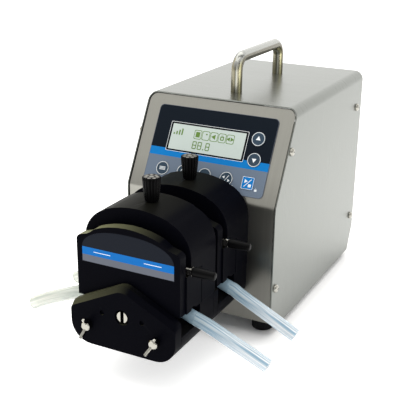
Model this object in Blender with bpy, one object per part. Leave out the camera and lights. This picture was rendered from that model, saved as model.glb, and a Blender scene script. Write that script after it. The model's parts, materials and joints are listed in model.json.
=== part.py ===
"""Two-head peristaltic pump: a bench drive in a stainless case with two stacked roller heads on its front.

Metres, +Z up, -Y is the front. The origin is on the floor under the middle of the whole pump.
"""

import math

import bmesh
import bpy
from mathutils import Vector

# Drive case
WIDTH = 0.180
DEPTH = 0.279
HEIGHT = 0.2475
FOLD_Z = 0.1516
TOP_SETBACK = 0.0523
SKIRT_Z = 0.0076
PANEL_BOTTOM_Z = 0.0178
FRONT_CORNER_DEPTH = 0.022
CHAMFER_Z = 0.039
CHAMFER_DEPTH = 0.015
SHEET = 0.0015
CASE_CORNER_R = 0.011
PANEL_INSET = 0.0016
SHEET_GAP = 0.0005
TOUCH = 0.0003

# Pump heads, measured along Y from the front face of each head
HEAD_DEPTH = 0.0677
SPACER_DEPTH = 0.0096
HEAD_PITCH = HEAD_DEPTH + SPACER_DEPTH
COVER_DEPTH = 0.012
WING_REACH = 0.0135
SHAFT_Z = 0.0775
BASE_HALF_WIDTH = 0.0585
BASE_BOTTOM_Z = 0.040
BASE_CORNER_R = 0.022
SPLIT_Z = 0.0847
PLATE_DEPTH = 0.011
PLATE_HALF_WIDTH = 0.057
FRAME_HALF_WIDTH = 0.0588
SLOT_WIDTH = 0.0065
SEAM_DEPTH = 0.0395
CHANNEL_REAR = 0.0375
BLOCK_HALF_WIDTH = 0.0592
BLOCK_CORNER_R = 0.035
BLOCK_TOP_Z = 0.1784
BLOCK_ARCH_R = 0.102
LEVER_Z = 0.1290
LEVER_BAR = (0.0054, 0.0084)
GRIP_START_X = 0.0628
GRIP_END_X = 0.0862
GRIP_R = 0.0049
GRIP_END_R = 0.0039
CAM_R = 0.005
HUB_R = 0.0075
KNOB_X = 0.0018
KNOB_DEPTH = 0.044
KNOB_TOP_Z = 0.2034
POST_X = 0.045
POST_DEPTH = 0.054
POST_LOW_Z = 0.055
POST_TOP_Z = 0.135
POST_R = 0.004
WING_X = 0.0378
WING_Z = 0.0615
WING_SHAPE = (
    (0.0020, -0.0012), (0.0075, -0.0036), (0.0104, -0.0080), (0.0115, -0.0115),
    (0.0104, -0.0135), (0.0080, -0.0124), (0.0048, -0.0086), (0.0015, -0.0066),
)

# Tube and rotor
TUBE_R = 0.0069
TUBE_DEPTH = 0.0292
TUBE_SHIFT = 0.0013
TUBE_EXIT = (0.0585, 0.0730)
TUBE_EXIT_SLOPE = 0.30
TUBE_BEND = 0.0160
TUBE_FLAT_HALF = 0.0029
TUBE_FLAT_WIDE = 0.0088
TUBE_ROUTES = {
    "head_1_tube_right": (0, 1, [(0.0744, 0.0678), (0.0959, 0.0589), (0.1171, 0.0502), (0.1361, 0.0420)]),
    "head_1_tube_left": (0, -1, [(0.0772, 0.0700), (0.0888, 0.0653), (0.1151, 0.0542), (0.1362, 0.0432)]),
    "head_2_tube_right": (1, 1, [(0.0703, 0.0674), (0.0933, 0.0561), (0.1161, 0.0448), (0.1334, 0.0360)]),
    "head_2_tube_left": (1, -1, [(0.0740, 0.0692), (0.0920, 0.0622), (0.1150, 0.0512), (0.1355, 0.0411)]),
}
ROLLER_REACH = 0.027
TUBE_ARC_R = ROLLER_REACH + 0.0004 + TUBE_FLAT_HALF
ROLLER_R = 0.0065
PIN_R = 0.002
ROLLER_COUNT = 3
BED_R = 0.0336
BED_FRONT = 0.0163
SHAFT_R = 0.005
SHAFT_END_R = 0.0061
SHAFT_SLOT = 0.0037

# Handle, side to side in the middle of the case
HANDLE_NEAR = 0.091
HANDLE_FAR = 0.211
HANDLE_R = 0.0065
HANDLE_TOP_Z = 0.2926
HANDLE_BEND_R = 0.0145

# Front panel film: places are (across, up the slope from the fold)
FILM_HALF_WIDTH = 0.072
FILM_SPAN = (0.0084, 0.0956)
WINDOW_U = (-0.0525, 0.0406)
WINDOW_V = (0.0447, 0.0770)
KEY_R = 0.0076
ROUND_KEYS = {
    "key_up": (0.0531, 0.0712),
    "key_down": (0.0536, 0.0482),
    "key_menu": (-0.0509, 0.0234),
    "key_mode": (-0.0250, 0.0234),
    "key_prime": (0.0010, 0.0234),
    "key_direction": (0.0270, 0.0234),
}
START_KEY = (0.0525, 0.0227, 0.0068)

# Feet and rear openings (across from the middle, height, to across, to height)
FOOT_R = 0.012
FOOT_HEIGHT = 0.0178
FOOT_X = 0.070
FOOT_DEPTHS = (0.025, 0.245)
REAR_OPENINGS = {
    "inlet": (-0.0640, 0.0560, -0.0360, 0.0810),
    "switch": (-0.0250, 0.0580, -0.0115, 0.0790),
    "signal": (0.0200, 0.0620, 0.0500, 0.0750),
}
REAR_REACH = 0.0018

FRONT_REACH = 2 * HEAD_PITCH - SPACER_DEPTH + COVER_DEPTH + WING_REACH
DRIVE_Y = (FRONT_REACH - DEPTH - REAR_REACH) / 2
HEAD_FACES = (DRIVE_Y - HEAD_DEPTH - HEAD_PITCH, DRIVE_Y - HEAD_DEPTH)

SLOPE_UP = Vector((0, TOP_SETBACK, HEIGHT - 0.002 - FOLD_Z)).normalized()
SLOPE_OUT = Vector((0, -SLOPE_UP.z, SLOPE_UP.y))


# ---------------------------------------------------------------- scene and materials

def clear_scene():
    for obj in list(bpy.data.objects):
        bpy.data.objects.remove(obj, do_unlink=True)


def material(name, colour, roughness, metallic=0.0):
    mat = bpy.data.materials.new(name)
    mat.use_nodes = True
    shader = mat.node_tree.nodes["Principled BSDF"]
    shader.inputs["Base Color"].default_value = (*colour, 1)
    shader.inputs["Roughness"].default_value = roughness
    shader.inputs["Metallic"].default_value = metallic
    return mat


def make_materials():
    return {
        "steel": material("brushed_stainless", (0.62, 0.61, 0.58), 0.35, 1.0),
        "chrome": material("polished_steel", (0.78, 0.77, 0.74), 0.12, 1.0),
        "zinc": material("zinc_sheet", (0.55, 0.56, 0.57), 0.45, 1.0),
        "black": material("black_moulding", (0.018, 0.018, 0.020), 0.42),
        "rubber": material("black_rubber", (0.015, 0.015, 0.015), 0.8),
        "film": material("panel_film", (0.12, 0.18, 0.26), 0.4),
        "key": material("key_slate", (0.07, 0.10, 0.14), 0.45),
        "blue": material("key_blue", (0.02, 0.30, 0.70), 0.4),
        "lens": material("window_lens", (0.75, 0.80, 0.78), 0.08),
        "motor": material("motor_paint", (0.02, 0.02, 0.022), 0.5),
        "board": material("circuit_board", (0.02, 0.16, 0.07), 0.5),
        "tube": material("silicone_tube", (0.80, 0.85, 0.88), 0.3),
        "roller": material("roller_nylon", (0.80, 0.79, 0.74), 0.4),
        "aluminium": material("aluminium", (0.70, 0.71, 0.72), 0.4, 1.0),
    }


# ---------------------------------------------------------------- shape helpers

def new_object(name, mesh_builder, mat=None):
    """An object whose mesh is the closed surface that mesh_builder leaves in a bmesh."""
    bm = bmesh.new()
    mesh_builder(bm)
    bmesh.ops.recalc_face_normals(bm, faces=bm.faces)
    mesh = bpy.data.meshes.new(name)
    bm.to_mesh(mesh)
    bm.free()
    obj = bpy.data.objects.new(name, mesh)
    bpy.context.scene.collection.objects.link(obj)
    if mat:
        mesh.materials.append(mat)
    return obj


def soften(obj, angle=40):
    obj.data.shade_smooth()
    obj.data.set_sharp_from_angle(angle=math.radians(angle))
    return obj


def loft(bm, rings):
    """Joins rings of equal length into one closed skin with flat ends."""
    rows = [[bm.verts.new(point) for point in ring] for ring in rings]
    for near, far in zip(rows, rows[1:]):
        for i in range(len(near)):
            j = (i + 1) % len(near)
            bm.faces.new((near[i], near[j], far[j], far[i]))
    bm.faces.new(rows[0])
    bm.faces.new(rows[-1][::-1])


def prism_y(name, outline, y0, y1, mat=None):
    """An (x, z) outline pushed along Y."""
    return new_object(
        name, lambda bm: loft(bm, [[(x, y, z) for x, z in outline] for y in (y0, y1)]), mat
    )


def prism_x(name, outline, x0, x1, mat=None):
    """A (y, z) outline pushed along X."""
    return new_object(
        name, lambda bm: loft(bm, [[(x, y, z) for y, z in outline] for x in (x0, x1)]), mat
    )


def prism_z(name, outline, z0, z1, mat=None):
    """An (x, y) outline pushed along Z."""
    return new_object(
        name, lambda bm: loft(bm, [[(x, y, z) for x, y in outline] for z in (z0, z1)]), mat
    )


def box(name, low, high, mat=None):
    corners = [(low[0], low[1]), (high[0], low[1]), (high[0], high[1]), (low[0], high[1])]
    return prism_z(name, corners, low[2], high[2], mat)


def arc(cx, cy, r, start, end, steps):
    """Points of a circle from start to end degrees."""
    angles = [math.radians(start + (end - start) * i / steps) for i in range(steps + 1)]
    return [(cx + r * math.cos(a), cy + r * math.sin(a)) for a in angles]


def circle(cx, cy, r, steps):
    return arc(cx, cy, r, 0, 360, steps)[:-1]


def round_rect(x0, y0, x1, y1, r, steps=4):
    return (
        arc(x1 - r, y0 + r, r, -90, 0, steps)
        + arc(x1 - r, y1 - r, r, 0, 90, steps)
        + arc(x0 + r, y1 - r, r, 90, 180, steps)
        + arc(x0 + r, y0 + r, r, 180, 270, steps)
    )


def turned(name, axis, centre, profile, steps, mat=None):
    """Discs of (distance along axis, radius) joined up: axis is 'x', 'y' or 'z'."""
    def ring(t, r):
        points = circle(0, 0, r, steps)
        if axis == "x":
            return [(centre[0] + t, centre[1] + a, centre[2] + b) for a, b in points]
        if axis == "y":
            return [(centre[0] + a, centre[1] + t, centre[2] + b) for a, b in points]
        return [(centre[0] + a, centre[1] + b, centre[2] + t) for a, b in points]

    obj = new_object(name, lambda bm: loft(bm, [ring(t, r) for t, r in profile]), mat)
    return soften(obj) if mat else obj


def combine(obj, other, operation="DIFFERENCE"):
    """Cuts other from obj, or joins it on. The helper stays in the file but isn't a part."""
    other.hide_render = True
    other.display_type = "WIRE"
    change = obj.modifiers.new(f"{operation.lower()}_{other.name}", "BOOLEAN")
    change.operation = operation
    change.solver = "EXACT"
    change.object = other
    return obj


def pivot_at(obj, point):
    """Moves the origin to point and leaves the shape where it is."""
    point = Vector(point)
    for vertex in obj.data.vertices:
        vertex.co -= point
    obj.location = point
    return obj


def on_slope(u, v, out):
    """A point of the sloping front: u across, v up from the fold, out in front of its plane."""
    return Vector((u, DRIVE_Y, FOLD_Z)) + SLOPE_UP * v + SLOPE_OUT * out


def slab_on_slope(name, outline, out0, out1, mat=None):
    """A (u, v) outline with its back at out0 and its face at out1."""
    rings = [[on_slope(u, v, out) for u, v in outline] for out in (out0, out1)]
    return new_object(name, lambda bm: loft(bm, rings), mat)


def window_outline(more_u, more_v):
    """The display window's rectangle on the slope, larger by these at each edge."""
    u0, u1 = WINDOW_U[0] - more_u, WINDOW_U[1] + more_u
    v0, v1 = WINDOW_V[0] - more_v, WINDOW_V[1] + more_v
    return [(u0, v0), (u1, v0), (u1, v1), (u0, v1)]


def mirror_outline(right):
    """A right-hand outline from bottom to top, with its mirror image added."""
    return right + [(-x, z) for x, z in reversed(right) if abs(x) > 1e-6]


# ---------------------------------------------------------------- drive case

def make_wrap_cover(mats):
    """The case's top and sides: one sheet bent into an inverted U."""
    half, r = WIDTH / 2, CASE_CORNER_R
    across = [(-half, 0), (half, 0)] + arc(half - r, HEIGHT - r, r, 0, 90, 6)
    across += arc(-half + r, HEIGHT - r, r, 90, 180, 6)
    cover = prism_y("wrap_cover", across, DRIVE_Y - 0.01, DRIVE_Y + DEPTH + 0.01, mats["steel"])
    y = DRIVE_Y
    side = [
        (y + FRONT_CORNER_DEPTH, SKIRT_Z),
        (y, PANEL_BOTTOM_Z),
        (y, FOLD_Z),
        (y + TOP_SETBACK, HEIGHT - 0.002),
        (y + TOP_SETBACK, HEIGHT + 0.01),
        (y + DEPTH, HEIGHT + 0.01),
        (y + DEPTH, CHAMFER_Z),
        (y + DEPTH - CHAMFER_DEPTH, SKIRT_Z),
    ]
    combine(cover, prism_x("cover_side_view", side, -WIDTH, WIDTH), "INTERSECT")
    half, r = half - SHEET, r - SHEET
    top = HEIGHT - SHEET
    hollow = [(-half, -0.01), (half, -0.01)] + arc(half - r, top - r, r, 0, 90, 6)
    hollow += arc(-half + r, top - r, r, 90, 180, 6)
    combine(cover, prism_y("cover_hollow", hollow, y - 0.05, y + DEPTH + 0.05))
    for i, depth in enumerate((HANDLE_NEAR, HANDLE_FAR)):
        hole = [(-0.01, 0.0024), (0.01, 0.0024)]
        combine(cover, turned(f"handle_hole_{i}", "z", (0, y + depth, HEIGHT), hole, 12))
    return cover


def make_front_panel(mats):
    """The bent sheet behind the film and the heads, inside the cover's front edge."""
    inset = PANEL_INSET
    half = WIDTH / 2 - SHEET - SHEET_GAP
    top_v = (HEIGHT - SHEET - SHEET_GAP - FOLD_Z) / SLOPE_UP.z + 0.0005
    fold_in = inset * math.tan(math.acos(SLOPE_UP.z) / 2)

    def bend(out):
        low = (DRIVE_Y - out, PANEL_BOTTOM_Z)
        fold = (DRIVE_Y - out, FOLD_Z + out * fold_in / inset)
        high = on_slope(0, top_v, out)
        return [low, fold, (high.y, HEIGHT - SHEET - SHEET_GAP)]

    outer, inner = bend(-inset), bend(-inset - SHEET)
    panel = prism_x("front_panel", outer + inner[::-1], -half, half, mats["steel"])
    r = CASE_CORNER_R - SHEET - SHEET_GAP
    top = HEIGHT - SHEET - SHEET_GAP
    front_view = [(-half, 0), (half, 0)] + arc(half - r, top - r, r, 0, 90, 6)
    front_view += arc(-half + r, top - r, r, 90, 180, 6)
    combine(panel, prism_y("panel_front_view", front_view, DRIVE_Y - 0.05, DRIVE_Y + 0.1), "INTERSECT")
    combine(panel, turned("motor_opening", "y", (0, DRIVE_Y, SHAFT_Z), [(-0.01, 0.02), (0.02, 0.02)], 24))
    combine(panel, slab_on_slope("lcd_opening", window_outline(-0.003, -0.002), -0.02, 0.02))
    return panel


def make_base_tray(mats):
    """Floor sheet with upturned sides that the cover's screws reach."""
    half = WIDTH / 2 - SHEET - SHEET_GAP
    floor_z = FOOT_HEIGHT + TOUCH
    flange_z = 0.068
    outside = [(-half, floor_z), (half, floor_z), (half, flange_z), (half - SHEET, flange_z)]
    outside += [(half - SHEET, floor_z + SHEET), (-half + SHEET, floor_z + SHEET)]
    outside += [(-half + SHEET, flange_z), (-half, flange_z)]
    y0, y1 = DRIVE_Y + 0.004, DRIVE_Y + DEPTH - CHAMFER_DEPTH - 0.004
    return prism_y("base_tray", outside, y0, y1, mats["zinc"])


def make_rear_panel(mats):
    """Rear sheet with its lower chamfer, vent slots and openings for the sockets."""
    half = WIDTH / 2 - SHEET - SHEET_GAP
    back = DRIVE_Y + DEPTH - 0.0015
    top = HEIGHT - SHEET - SHEET_GAP
    low = (back - CHAMFER_DEPTH + 0.001, SKIRT_Z + 0.0006)
    outline = [low, (back, CHAMFER_Z), (back, top), (back - SHEET, top)]
    outline += [(back - SHEET, CHAMFER_Z + 0.0004), (low[0] - SHEET, low[1])]
    panel = prism_x("rear_panel", outline, -half, half, mats["steel"])
    r = CASE_CORNER_R - SHEET - SHEET_GAP
    rear_view = [(-half, 0), (half, 0)] + arc(half - r, top - r, r, 0, 90, 6)
    rear_view += arc(-half + r, top - r, r, 90, 180, 6)
    combine(panel, prism_y("panel_rear_view", rear_view, back - 0.05, back + 0.05), "INTERSECT")
    for name, (u0, z0, u1, z1) in REAR_OPENINGS.items():
        combine(panel, box(f"opening_{name}", (u0, back - 0.02, z0), (u1, back + 0.02, z1)))
    for i in range(7):
        z = 0.170 + 0.0085 * i
        slot = round_rect(-0.045, z, 0.045, z + 0.0036, 0.0017, 3)
        combine(panel, prism_y(f"vent_{i}", slot, back - 0.02, back + 0.02))
    return panel


def make_rear_fittings(mats):
    """Mains inlet, rocker switch and signal socket."""
    back = DRIVE_Y + DEPTH - 0.0015
    u0, z0, u1, z1 = REAR_OPENINGS["inlet"]
    g = 0.0004
    inlet = box("power_inlet", (u0 + g, back - 0.028, z0 + g), (u1 - g, back + 0.003, z1 - g), mats["black"])
    flange = round_rect(u0 - 0.011, z0 - 0.003, u1 + 0.009, z1 + 0.003, 0.003)
    combine(inlet, prism_y("inlet_flange", flange, back + TOUCH, back + 0.0033), "UNION")
    recess = [(u0 + 0.003, z0 + 0.004), (u1 - 0.003, z0 + 0.004), (u1 - 0.003, z1 - 0.008)]
    recess += [(u1 - 0.007, z1 - 0.004), (u0 + 0.007, z1 - 0.004), (u0 + 0.003, z1 - 0.008)]
    combine(inlet, prism_y("inlet_recess", recess, back - 0.016, back + 0.01))
    u0, z0, u1, z1 = REAR_OPENINGS["switch"]
    middle = (z0 + z1) / 2
    axle_y = back - 0.004
    reach = (z1 - z0) / 2 - TOUCH
    rocker = arc(axle_y, middle, reach, -100, -70, 4) + [(axle_y + 0.0044, middle)]
    rocker += arc(axle_y, middle, reach, 52, 100, 6)
    switch = prism_x("power_switch", rocker, u0 + g, u1 - g, mats["black"])
    pivot_at(switch, ((u0 + u1) / 2, axle_y, middle))
    u0, z0, u1, z1 = REAR_OPENINGS["signal"]
    shell = [(u0 + 0.002, z0 + g), (u1 - 0.002, z0 + g), (u1 - g, z1 - g), (u0 + g, z1 - g)]
    signal = prism_y("signal_socket", shell, back - 0.010, back + 0.0032, mats["zinc"])
    plate = round_rect(u0 - 0.007, z0 - 0.002, u1 + 0.007, z1 + 0.002, 0.002)
    combine(signal, prism_y("signal_plate", plate, back + TOUCH, back + 0.0014), "UNION")


def make_handle(mats):
    """Bent round bar with its legs along the case's middle line."""
    top = HANDLE_TOP_Z - HANDLE_R
    near, far = DRIVE_Y + HANDLE_NEAR, DRIVE_Y + HANDLE_FAR
    r = HANDLE_BEND_R
    path = [(near, HEIGHT + TOUCH)] + arc(near + r, top - r, r, 180, 90, 6)
    path += arc(far - r, top - r, r, 90, 0, 6) + [(far, HEIGHT + TOUCH)]
    curve = bpy.data.curves.new("handle", "CURVE")
    curve.dimensions = "3D"
    curve.bevel_depth = HANDLE_R
    curve.bevel_resolution = 3
    curve.use_fill_caps = True
    spline = curve.splines.new("POLY")
    spline.points.add(len(path) - 1)
    for point, (y, z) in zip(spline.points, path):
        point.co = (0, y, z, 1)
    curve.materials.append(mats["chrome"])
    handle = bpy.data.objects.new("handle", curve)
    bpy.context.scene.collection.objects.link(handle)


def make_feet(mats):
    for i, (side, depth) in enumerate(((s, d) for s in (-1, 1) for d in FOOT_DEPTHS)):
        centre = (side * FOOT_X, DRIVE_Y + depth, 0)
        profile = [(0, FOOT_R - 0.001), (0.001, FOOT_R), (FOOT_HEIGHT, FOOT_R + 0.0008)]
        turned(f"foot_{i + 1}", "z", centre, profile, 20, mats["rubber"])


# ---------------------------------------------------------------- front panel fittings

def key_outlines():
    outlines = {name: circle(u, v, KEY_R, 20) for name, (u, v) in ROUND_KEYS.items()}
    u, v, half = START_KEY
    outlines["key_start_stop"] = round_rect(u - half, v - half, u + half, v + half, 0.0012, 2)
    return outlines


def grown(outline, by):
    """The outline pushed out from its own centre."""
    cu = sum(u for u, v in outline) / len(outline)
    cv = sum(v for u, v in outline) / len(outline)
    reach = max(math.hypot(u - cu, v - cv) for u, v in outline)
    scale = 1 + by / reach
    return [(cu + (u - cu) * scale, cv + (v - cv) * scale) for u, v in outline]


def make_panel_film(mats):
    """The printed film, its keys and the display's lens, all lying on the sloping sheet."""
    back, face = -PANEL_INSET + TOUCH, -PANEL_INSET + TOUCH + 0.0008
    low, high = FILM_SPAN
    outline = round_rect(-FILM_HALF_WIDTH, low, FILM_HALF_WIDTH, high, 0.005)
    film = slab_on_slope("keypad_film", outline, back, face, mats["film"])
    outlines = key_outlines()
    for name, shape in outlines.items():
        combine(film, slab_on_slope(f"hole_{name}", grown(shape, 0.0004), back - 0.005, face + 0.005))
    window = round_rect(WINDOW_U[0], WINDOW_V[0], WINDOW_U[1], WINDOW_V[1], 0.0015, 2)
    combine(film, slab_on_slope("hole_window", grown(window, 0.0005), back - 0.005, face + 0.005))
    slab_on_slope("display_lens", window, back, face, mats["lens"])
    for name, shape in outlines.items():
        mat = mats["blue"] if name == "key_start_stop" else mats["key"]
        cu = sum(u for u, v in shape) / len(shape)
        cv = sum(v for u, v in shape) / len(shape)
        key = slab_on_slope(name, shape, back + 0.00065, face + 0.0007, mat)
        pivot_at(key, on_slope(cu, cv, back))


def make_electronics(mats):
    """Display module, control board and power supply inside the case."""
    inside = -PANEL_INSET - SHEET - TOUCH
    lcd = slab_on_slope("lcd_module", window_outline(0.004, 0.004), inside - 0.008, inside, mats["zinc"])
    glass = slab_on_slope("lcd_glass", window_outline(-0.0034, -0.0024), inside - 0.004, -PANEL_INSET)
    combine(lcd, glass, "UNION")
    board = [(-0.070, 0.006), (0.070, 0.006), (0.070, 0.090), (-0.070, 0.090)]
    slab_on_slope("control_board", board, inside - 0.0099, inside - 0.0083, mats["board"])
    y = DRIVE_Y
    floor_z = FOOT_HEIGHT + TOUCH + SHEET + TOUCH
    supply = (0.004, y + 0.150, floor_z), (0.084, y + 0.235, floor_z + 0.038)
    case = box("power_supply", supply[0], supply[1], mats["zinc"])
    low, high = supply
    inside_low = (low[0] + SHEET, low[1] + SHEET, low[2] - 0.01)
    inside_high = (high[0] - SHEET, high[1] - SHEET, high[2] - SHEET)
    combine(case, box("supply_hollow", inside_low, inside_high))


def make_motor(mats):
    """Stepper motor bolted to the back of the front sheet, its pilot ring in the sheet's opening."""
    y0 = DRIVE_Y + PANEL_INSET + SHEET + TOUCH
    half = 0.0285
    body = round_rect(-half, SHAFT_Z - half, half, SHAFT_Z + half, 0.005, 3)
    motor = prism_y("stepper_motor", body, y0, y0 + 0.076, mats["motor"])
    pilot = [(-0.0015, 0.0197), (0.01, 0.0197)]
    combine(motor, turned("motor_pilot", "y", (0, y0, SHAFT_Z), pilot, 24), "UNION")
    bore = [(-0.02, SHAFT_R + TOUCH), (0.04, SHAFT_R + TOUCH)]
    combine(motor, turned("motor_bore", "y", (0, y0, SHAFT_Z), bore, 16))


# ---------------------------------------------------------------- pump heads

def base_outline(shoulder_z, top):
    """The heads' lower outline: round bottom corners, straight sides, then the given top points."""
    half, r = BASE_HALF_WIDTH, BASE_CORNER_R
    right = [(0, BASE_BOTTOM_Z)] + arc(half - r, BASE_BOTTOM_Z + r, r, -90, 0, 8)
    return mirror_outline(right + [(half, shoulder_z)] + top)


def make_head_base(n, face, mats):
    """Lower body: bearing walls, the rotor's well and the sloping shoulders that the tube lies on."""
    front, rear = face + TOUCH, face + HEAD_DEPTH - TOUCH
    if n == len(HEAD_FACES):
        rear = DRIVE_Y + PANEL_INSET - TOUCH
    outline = base_outline(SPLIT_Z, [(0, SPLIT_Z)])
    base = prism_y(f"head_{n}_base", outline, front, rear, mats["black"])
    low = tube_underside(0.0005)
    slope = [(low[0][0] + 0.004, low[0][1] - 0.004 * TUBE_EXIT_SLOPE)] + low
    slope += [(low[-1][0], 0.090), (low[0][0] + 0.004, 0.090)]
    for side in (-1, 1):
        cut = [(side * x, z) for x, z in slope]
        combine(base, prism_y(f"shoulder_{n}_{side}", cut, face - 0.01, face + CHANNEL_REAR))
    well = turned(f"well_{n}", "y", (0, face, SHAFT_Z), [(BED_FRONT, 0.031), (SEAM_DEPTH + TOUCH, 0.031)], 40)
    combine(base, well)
    bore = [(-0.02, 0.0071), (HEAD_DEPTH + 0.01, 0.0071)]
    combine(base, turned(f"shaft_bore_{n}", "y", (0, face, SHAFT_Z), bore, 20))
    for side in (-1, 1):
        post = (side * POST_X, face + POST_DEPTH, POST_LOW_Z)
        hole = [(-TOUCH, POST_R + TOUCH), (0.1, POST_R + TOUCH)]
        combine(base, turned(f"post_hole_{n}_{side}", "z", post, hole, 12))
        if n == 1:
            wing = (side * WING_X, face, WING_Z)
            combine(base, turned(f"wing_hole_{side}", "y", wing, [(-0.01, 0.0029), (0.016, 0.0029)], 12))


def make_guide_posts(n, face, mats):
    for side, where in ((-1, "left"), (1, "right")):
        post = (side * POST_X, face + POST_DEPTH, 0)
        profile = [(POST_LOW_Z, POST_R), (POST_TOP_Z - 0.001, POST_R), (POST_TOP_Z, POST_R - 0.001)]
        turned(f"head_{n}_guide_{where}", "z", post, profile, 12, mats["chrome"])


def plate_outline():
    """Front plate: low shoulders that sweep up into a shallow arch."""
    half, r = PLATE_HALF_WIDTH, 0.006
    right = [(half, SPLIT_Z + 0.0006)] + arc(half - r, 0.1434, r, 0, 80, 5)
    right += [(0.0450, 0.1512), (0.0410, 0.1534), (0.0375, 0.1562), (0.0345, 0.1578)]
    arch_r, peak = 0.095, 0.1643
    for x in (0.028, 0.020, 0.010, 0.0):
        right.append((x, peak - arch_r + math.sqrt(arch_r**2 - x**2)))
    return mirror_outline(right)


def block_outline(low_z):
    """Pressure block: a shallow arch between two broad round shoulders."""
    half, r = BLOCK_HALF_WIDTH, BLOCK_CORNER_R
    centre_z = 0.138
    right = [(half, low_z)] + arc(half - r, centre_z, r, 0, 70, 9)
    right.append((0.0345, BLOCK_TOP_Z - BLOCK_ARCH_R + math.sqrt(BLOCK_ARCH_R**2 - 0.0345**2)))
    for x in (0.026, 0.017, 0.0085, 0.0):
        right.append((x, BLOCK_TOP_Z - BLOCK_ARCH_R + math.sqrt(BLOCK_ARCH_R**2 - x**2)))
    return mirror_outline(right)


def tube_channel(n, part, face):
    """Cuts the way in and out for the tube, and the bed that the rollers press it against."""
    bed = [(BED_FRONT, BED_R), (SEAM_DEPTH + 0.001, BED_R)]
    combine(part, turned(f"bed_{part.name}", "y", (0, face, SHAFT_Z), bed, 48))
    for side in (-1, 1):
        flare = [(0.012, 0.080), (0.064, 0.060), (0.064, 0.0845), (0.0590, 0.0853), (0.050, 0.0885)]
        flare += [(0.040, 0.0980), (0.020, 0.109)]
        outline = [(side * x, z) for x, z in flare]
        combine(part, prism_y(f"flare_{part.name}_{side}", outline, face + 0.0185, face + CHANNEL_REAR))
        mouth = [(0.0190, 0.060), (0.0195, 0.0862), (0.0215, 0.0885), (0.0250, 0.0878), (0.0290, 0.0855)]
        mouth.append((0.0290, 0.060))
        mouth = [(face + depth, z) for depth, z in mouth]
        xs = sorted((side * 0.046, side * 0.064))
        combine(part, prism_x(f"mouth_{part.name}_{side}", mouth, xs[0], xs[1]))


def make_head_frame(n, face, mats):
    """Front plate with the thicker frame behind its lower half, over the tube."""
    frame = prism_y(f"head_{n}_front_frame", plate_outline(), face, face + PLATE_DEPTH, mats["black"])
    half = FRAME_HALF_WIDTH
    top = LEVER_Z - CAM_R - TOUCH
    thick = [(-half, SPLIT_Z + 0.0006), (half, SPLIT_Z + 0.0006), (half, top), (-half, top)]
    low = prism_y(f"frame_low_{n}", thick, face + PLATE_DEPTH - 0.001, face + SEAM_DEPTH)
    combine(frame, low, "UNION")
    room = [(0, HUB_R + 0.0004), (SLOT_WIDTH, HUB_R + 0.0004)]
    combine(frame, turned(f"lever_well_{n}", "y", (0, face + PLATE_DEPTH, LEVER_Z), room, 24))
    tube_channel(n, frame, face)


def make_head_block(n, face, mats):
    """Arch-shaped pressure block that carries the camshaft, the knob and the guide bores."""
    front, rear = face + PLATE_DEPTH + SLOT_WIDTH, face + HEAD_DEPTH + 0.001
    block = prism_y(f"head_{n}_pressure_block", block_outline(SPLIT_Z + 0.0006), front, rear, mats["black"])
    top = LEVER_Z - LEVER_BAR[1] / 2 - 0.0001
    room = box(f"frame_room_{n}", (-0.08, front - 0.01, 0.05), (0.08, face + SEAM_DEPTH + TOUCH, top))
    combine(block, room)
    cam = (0, face, LEVER_Z)
    combine(block, turned(f"cam_bore_{n}", "y", cam, [(0.01, CAM_R + TOUCH), (0.062, CAM_R + TOUCH)], 16))
    stem = (KNOB_X, face + KNOB_DEPTH, BLOCK_TOP_Z)
    combine(block, turned(f"stem_bore_{n}", "z", stem, [(-0.022, 0.0043), (0.01, 0.0043)], 14))
    for side in (-1, 1):
        post = (side * POST_X, face + POST_DEPTH, 0)
        bore = [(0.05, POST_R + TOUCH), (POST_TOP_Z + 0.0005, POST_R + TOUCH)]
        combine(block, turned(f"guide_bore_{n}_{side}", "z", post, bore, 12))


def make_lever(n, face, mats):
    """Steel camshaft with its flat arm in the slot, and the moulded grip on the arm's end."""
    mid = face + PLATE_DEPTH + SLOT_WIDTH / 2
    thick, tall = LEVER_BAR
    bar = round_rect(mid - thick / 2, LEVER_Z - tall / 2, mid + thick / 2, LEVER_Z + tall / 2, 0.0012, 2)
    lever = prism_x(f"head_{n}_lever", bar, 0.0, GRIP_START_X - TOUCH, mats["chrome"])
    hub = turned(f"lever_hub_{n}", "y", (0, mid, LEVER_Z), [(-thick / 2, HUB_R), (thick / 2, HUB_R)], 20)
    combine(lever, hub, "UNION")
    shaft = [(0, CAM_R), (face + 0.060 - mid, CAM_R)]
    combine(lever, turned(f"camshaft_{n}", "y", (0, mid, LEVER_Z), shaft, 16), "UNION")
    tang = (GRIP_START_X - 0.004, mid, LEVER_Z)
    combine(lever, turned(f"tang_{n}", "x", tang, [(0, 0.002), (0.018, 0.002)], 10), "UNION")
    pivot_at(lever, (0, mid, LEVER_Z))
    length = GRIP_END_X - GRIP_START_X
    profile = [(0, GRIP_R - 0.0006), (0.001, GRIP_R), (length - 0.0012, GRIP_END_R)]
    profile += [(length - 0.0003, GRIP_END_R - 0.0007), (length, GRIP_END_R - 0.0018)]
    grip = turned(f"head_{n}_grip", "x", (GRIP_START_X, mid, LEVER_Z), profile, 18, mats["black"])
    hole = [(-0.01, 0.002 + TOUCH), (0.0148, 0.002 + TOUCH)]
    combine(grip, turned(f"grip_bore_{n}", "x", (GRIP_START_X, mid, LEVER_Z), hole, 10))
    pivot_at(grip, (0, mid, LEVER_Z))


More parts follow.
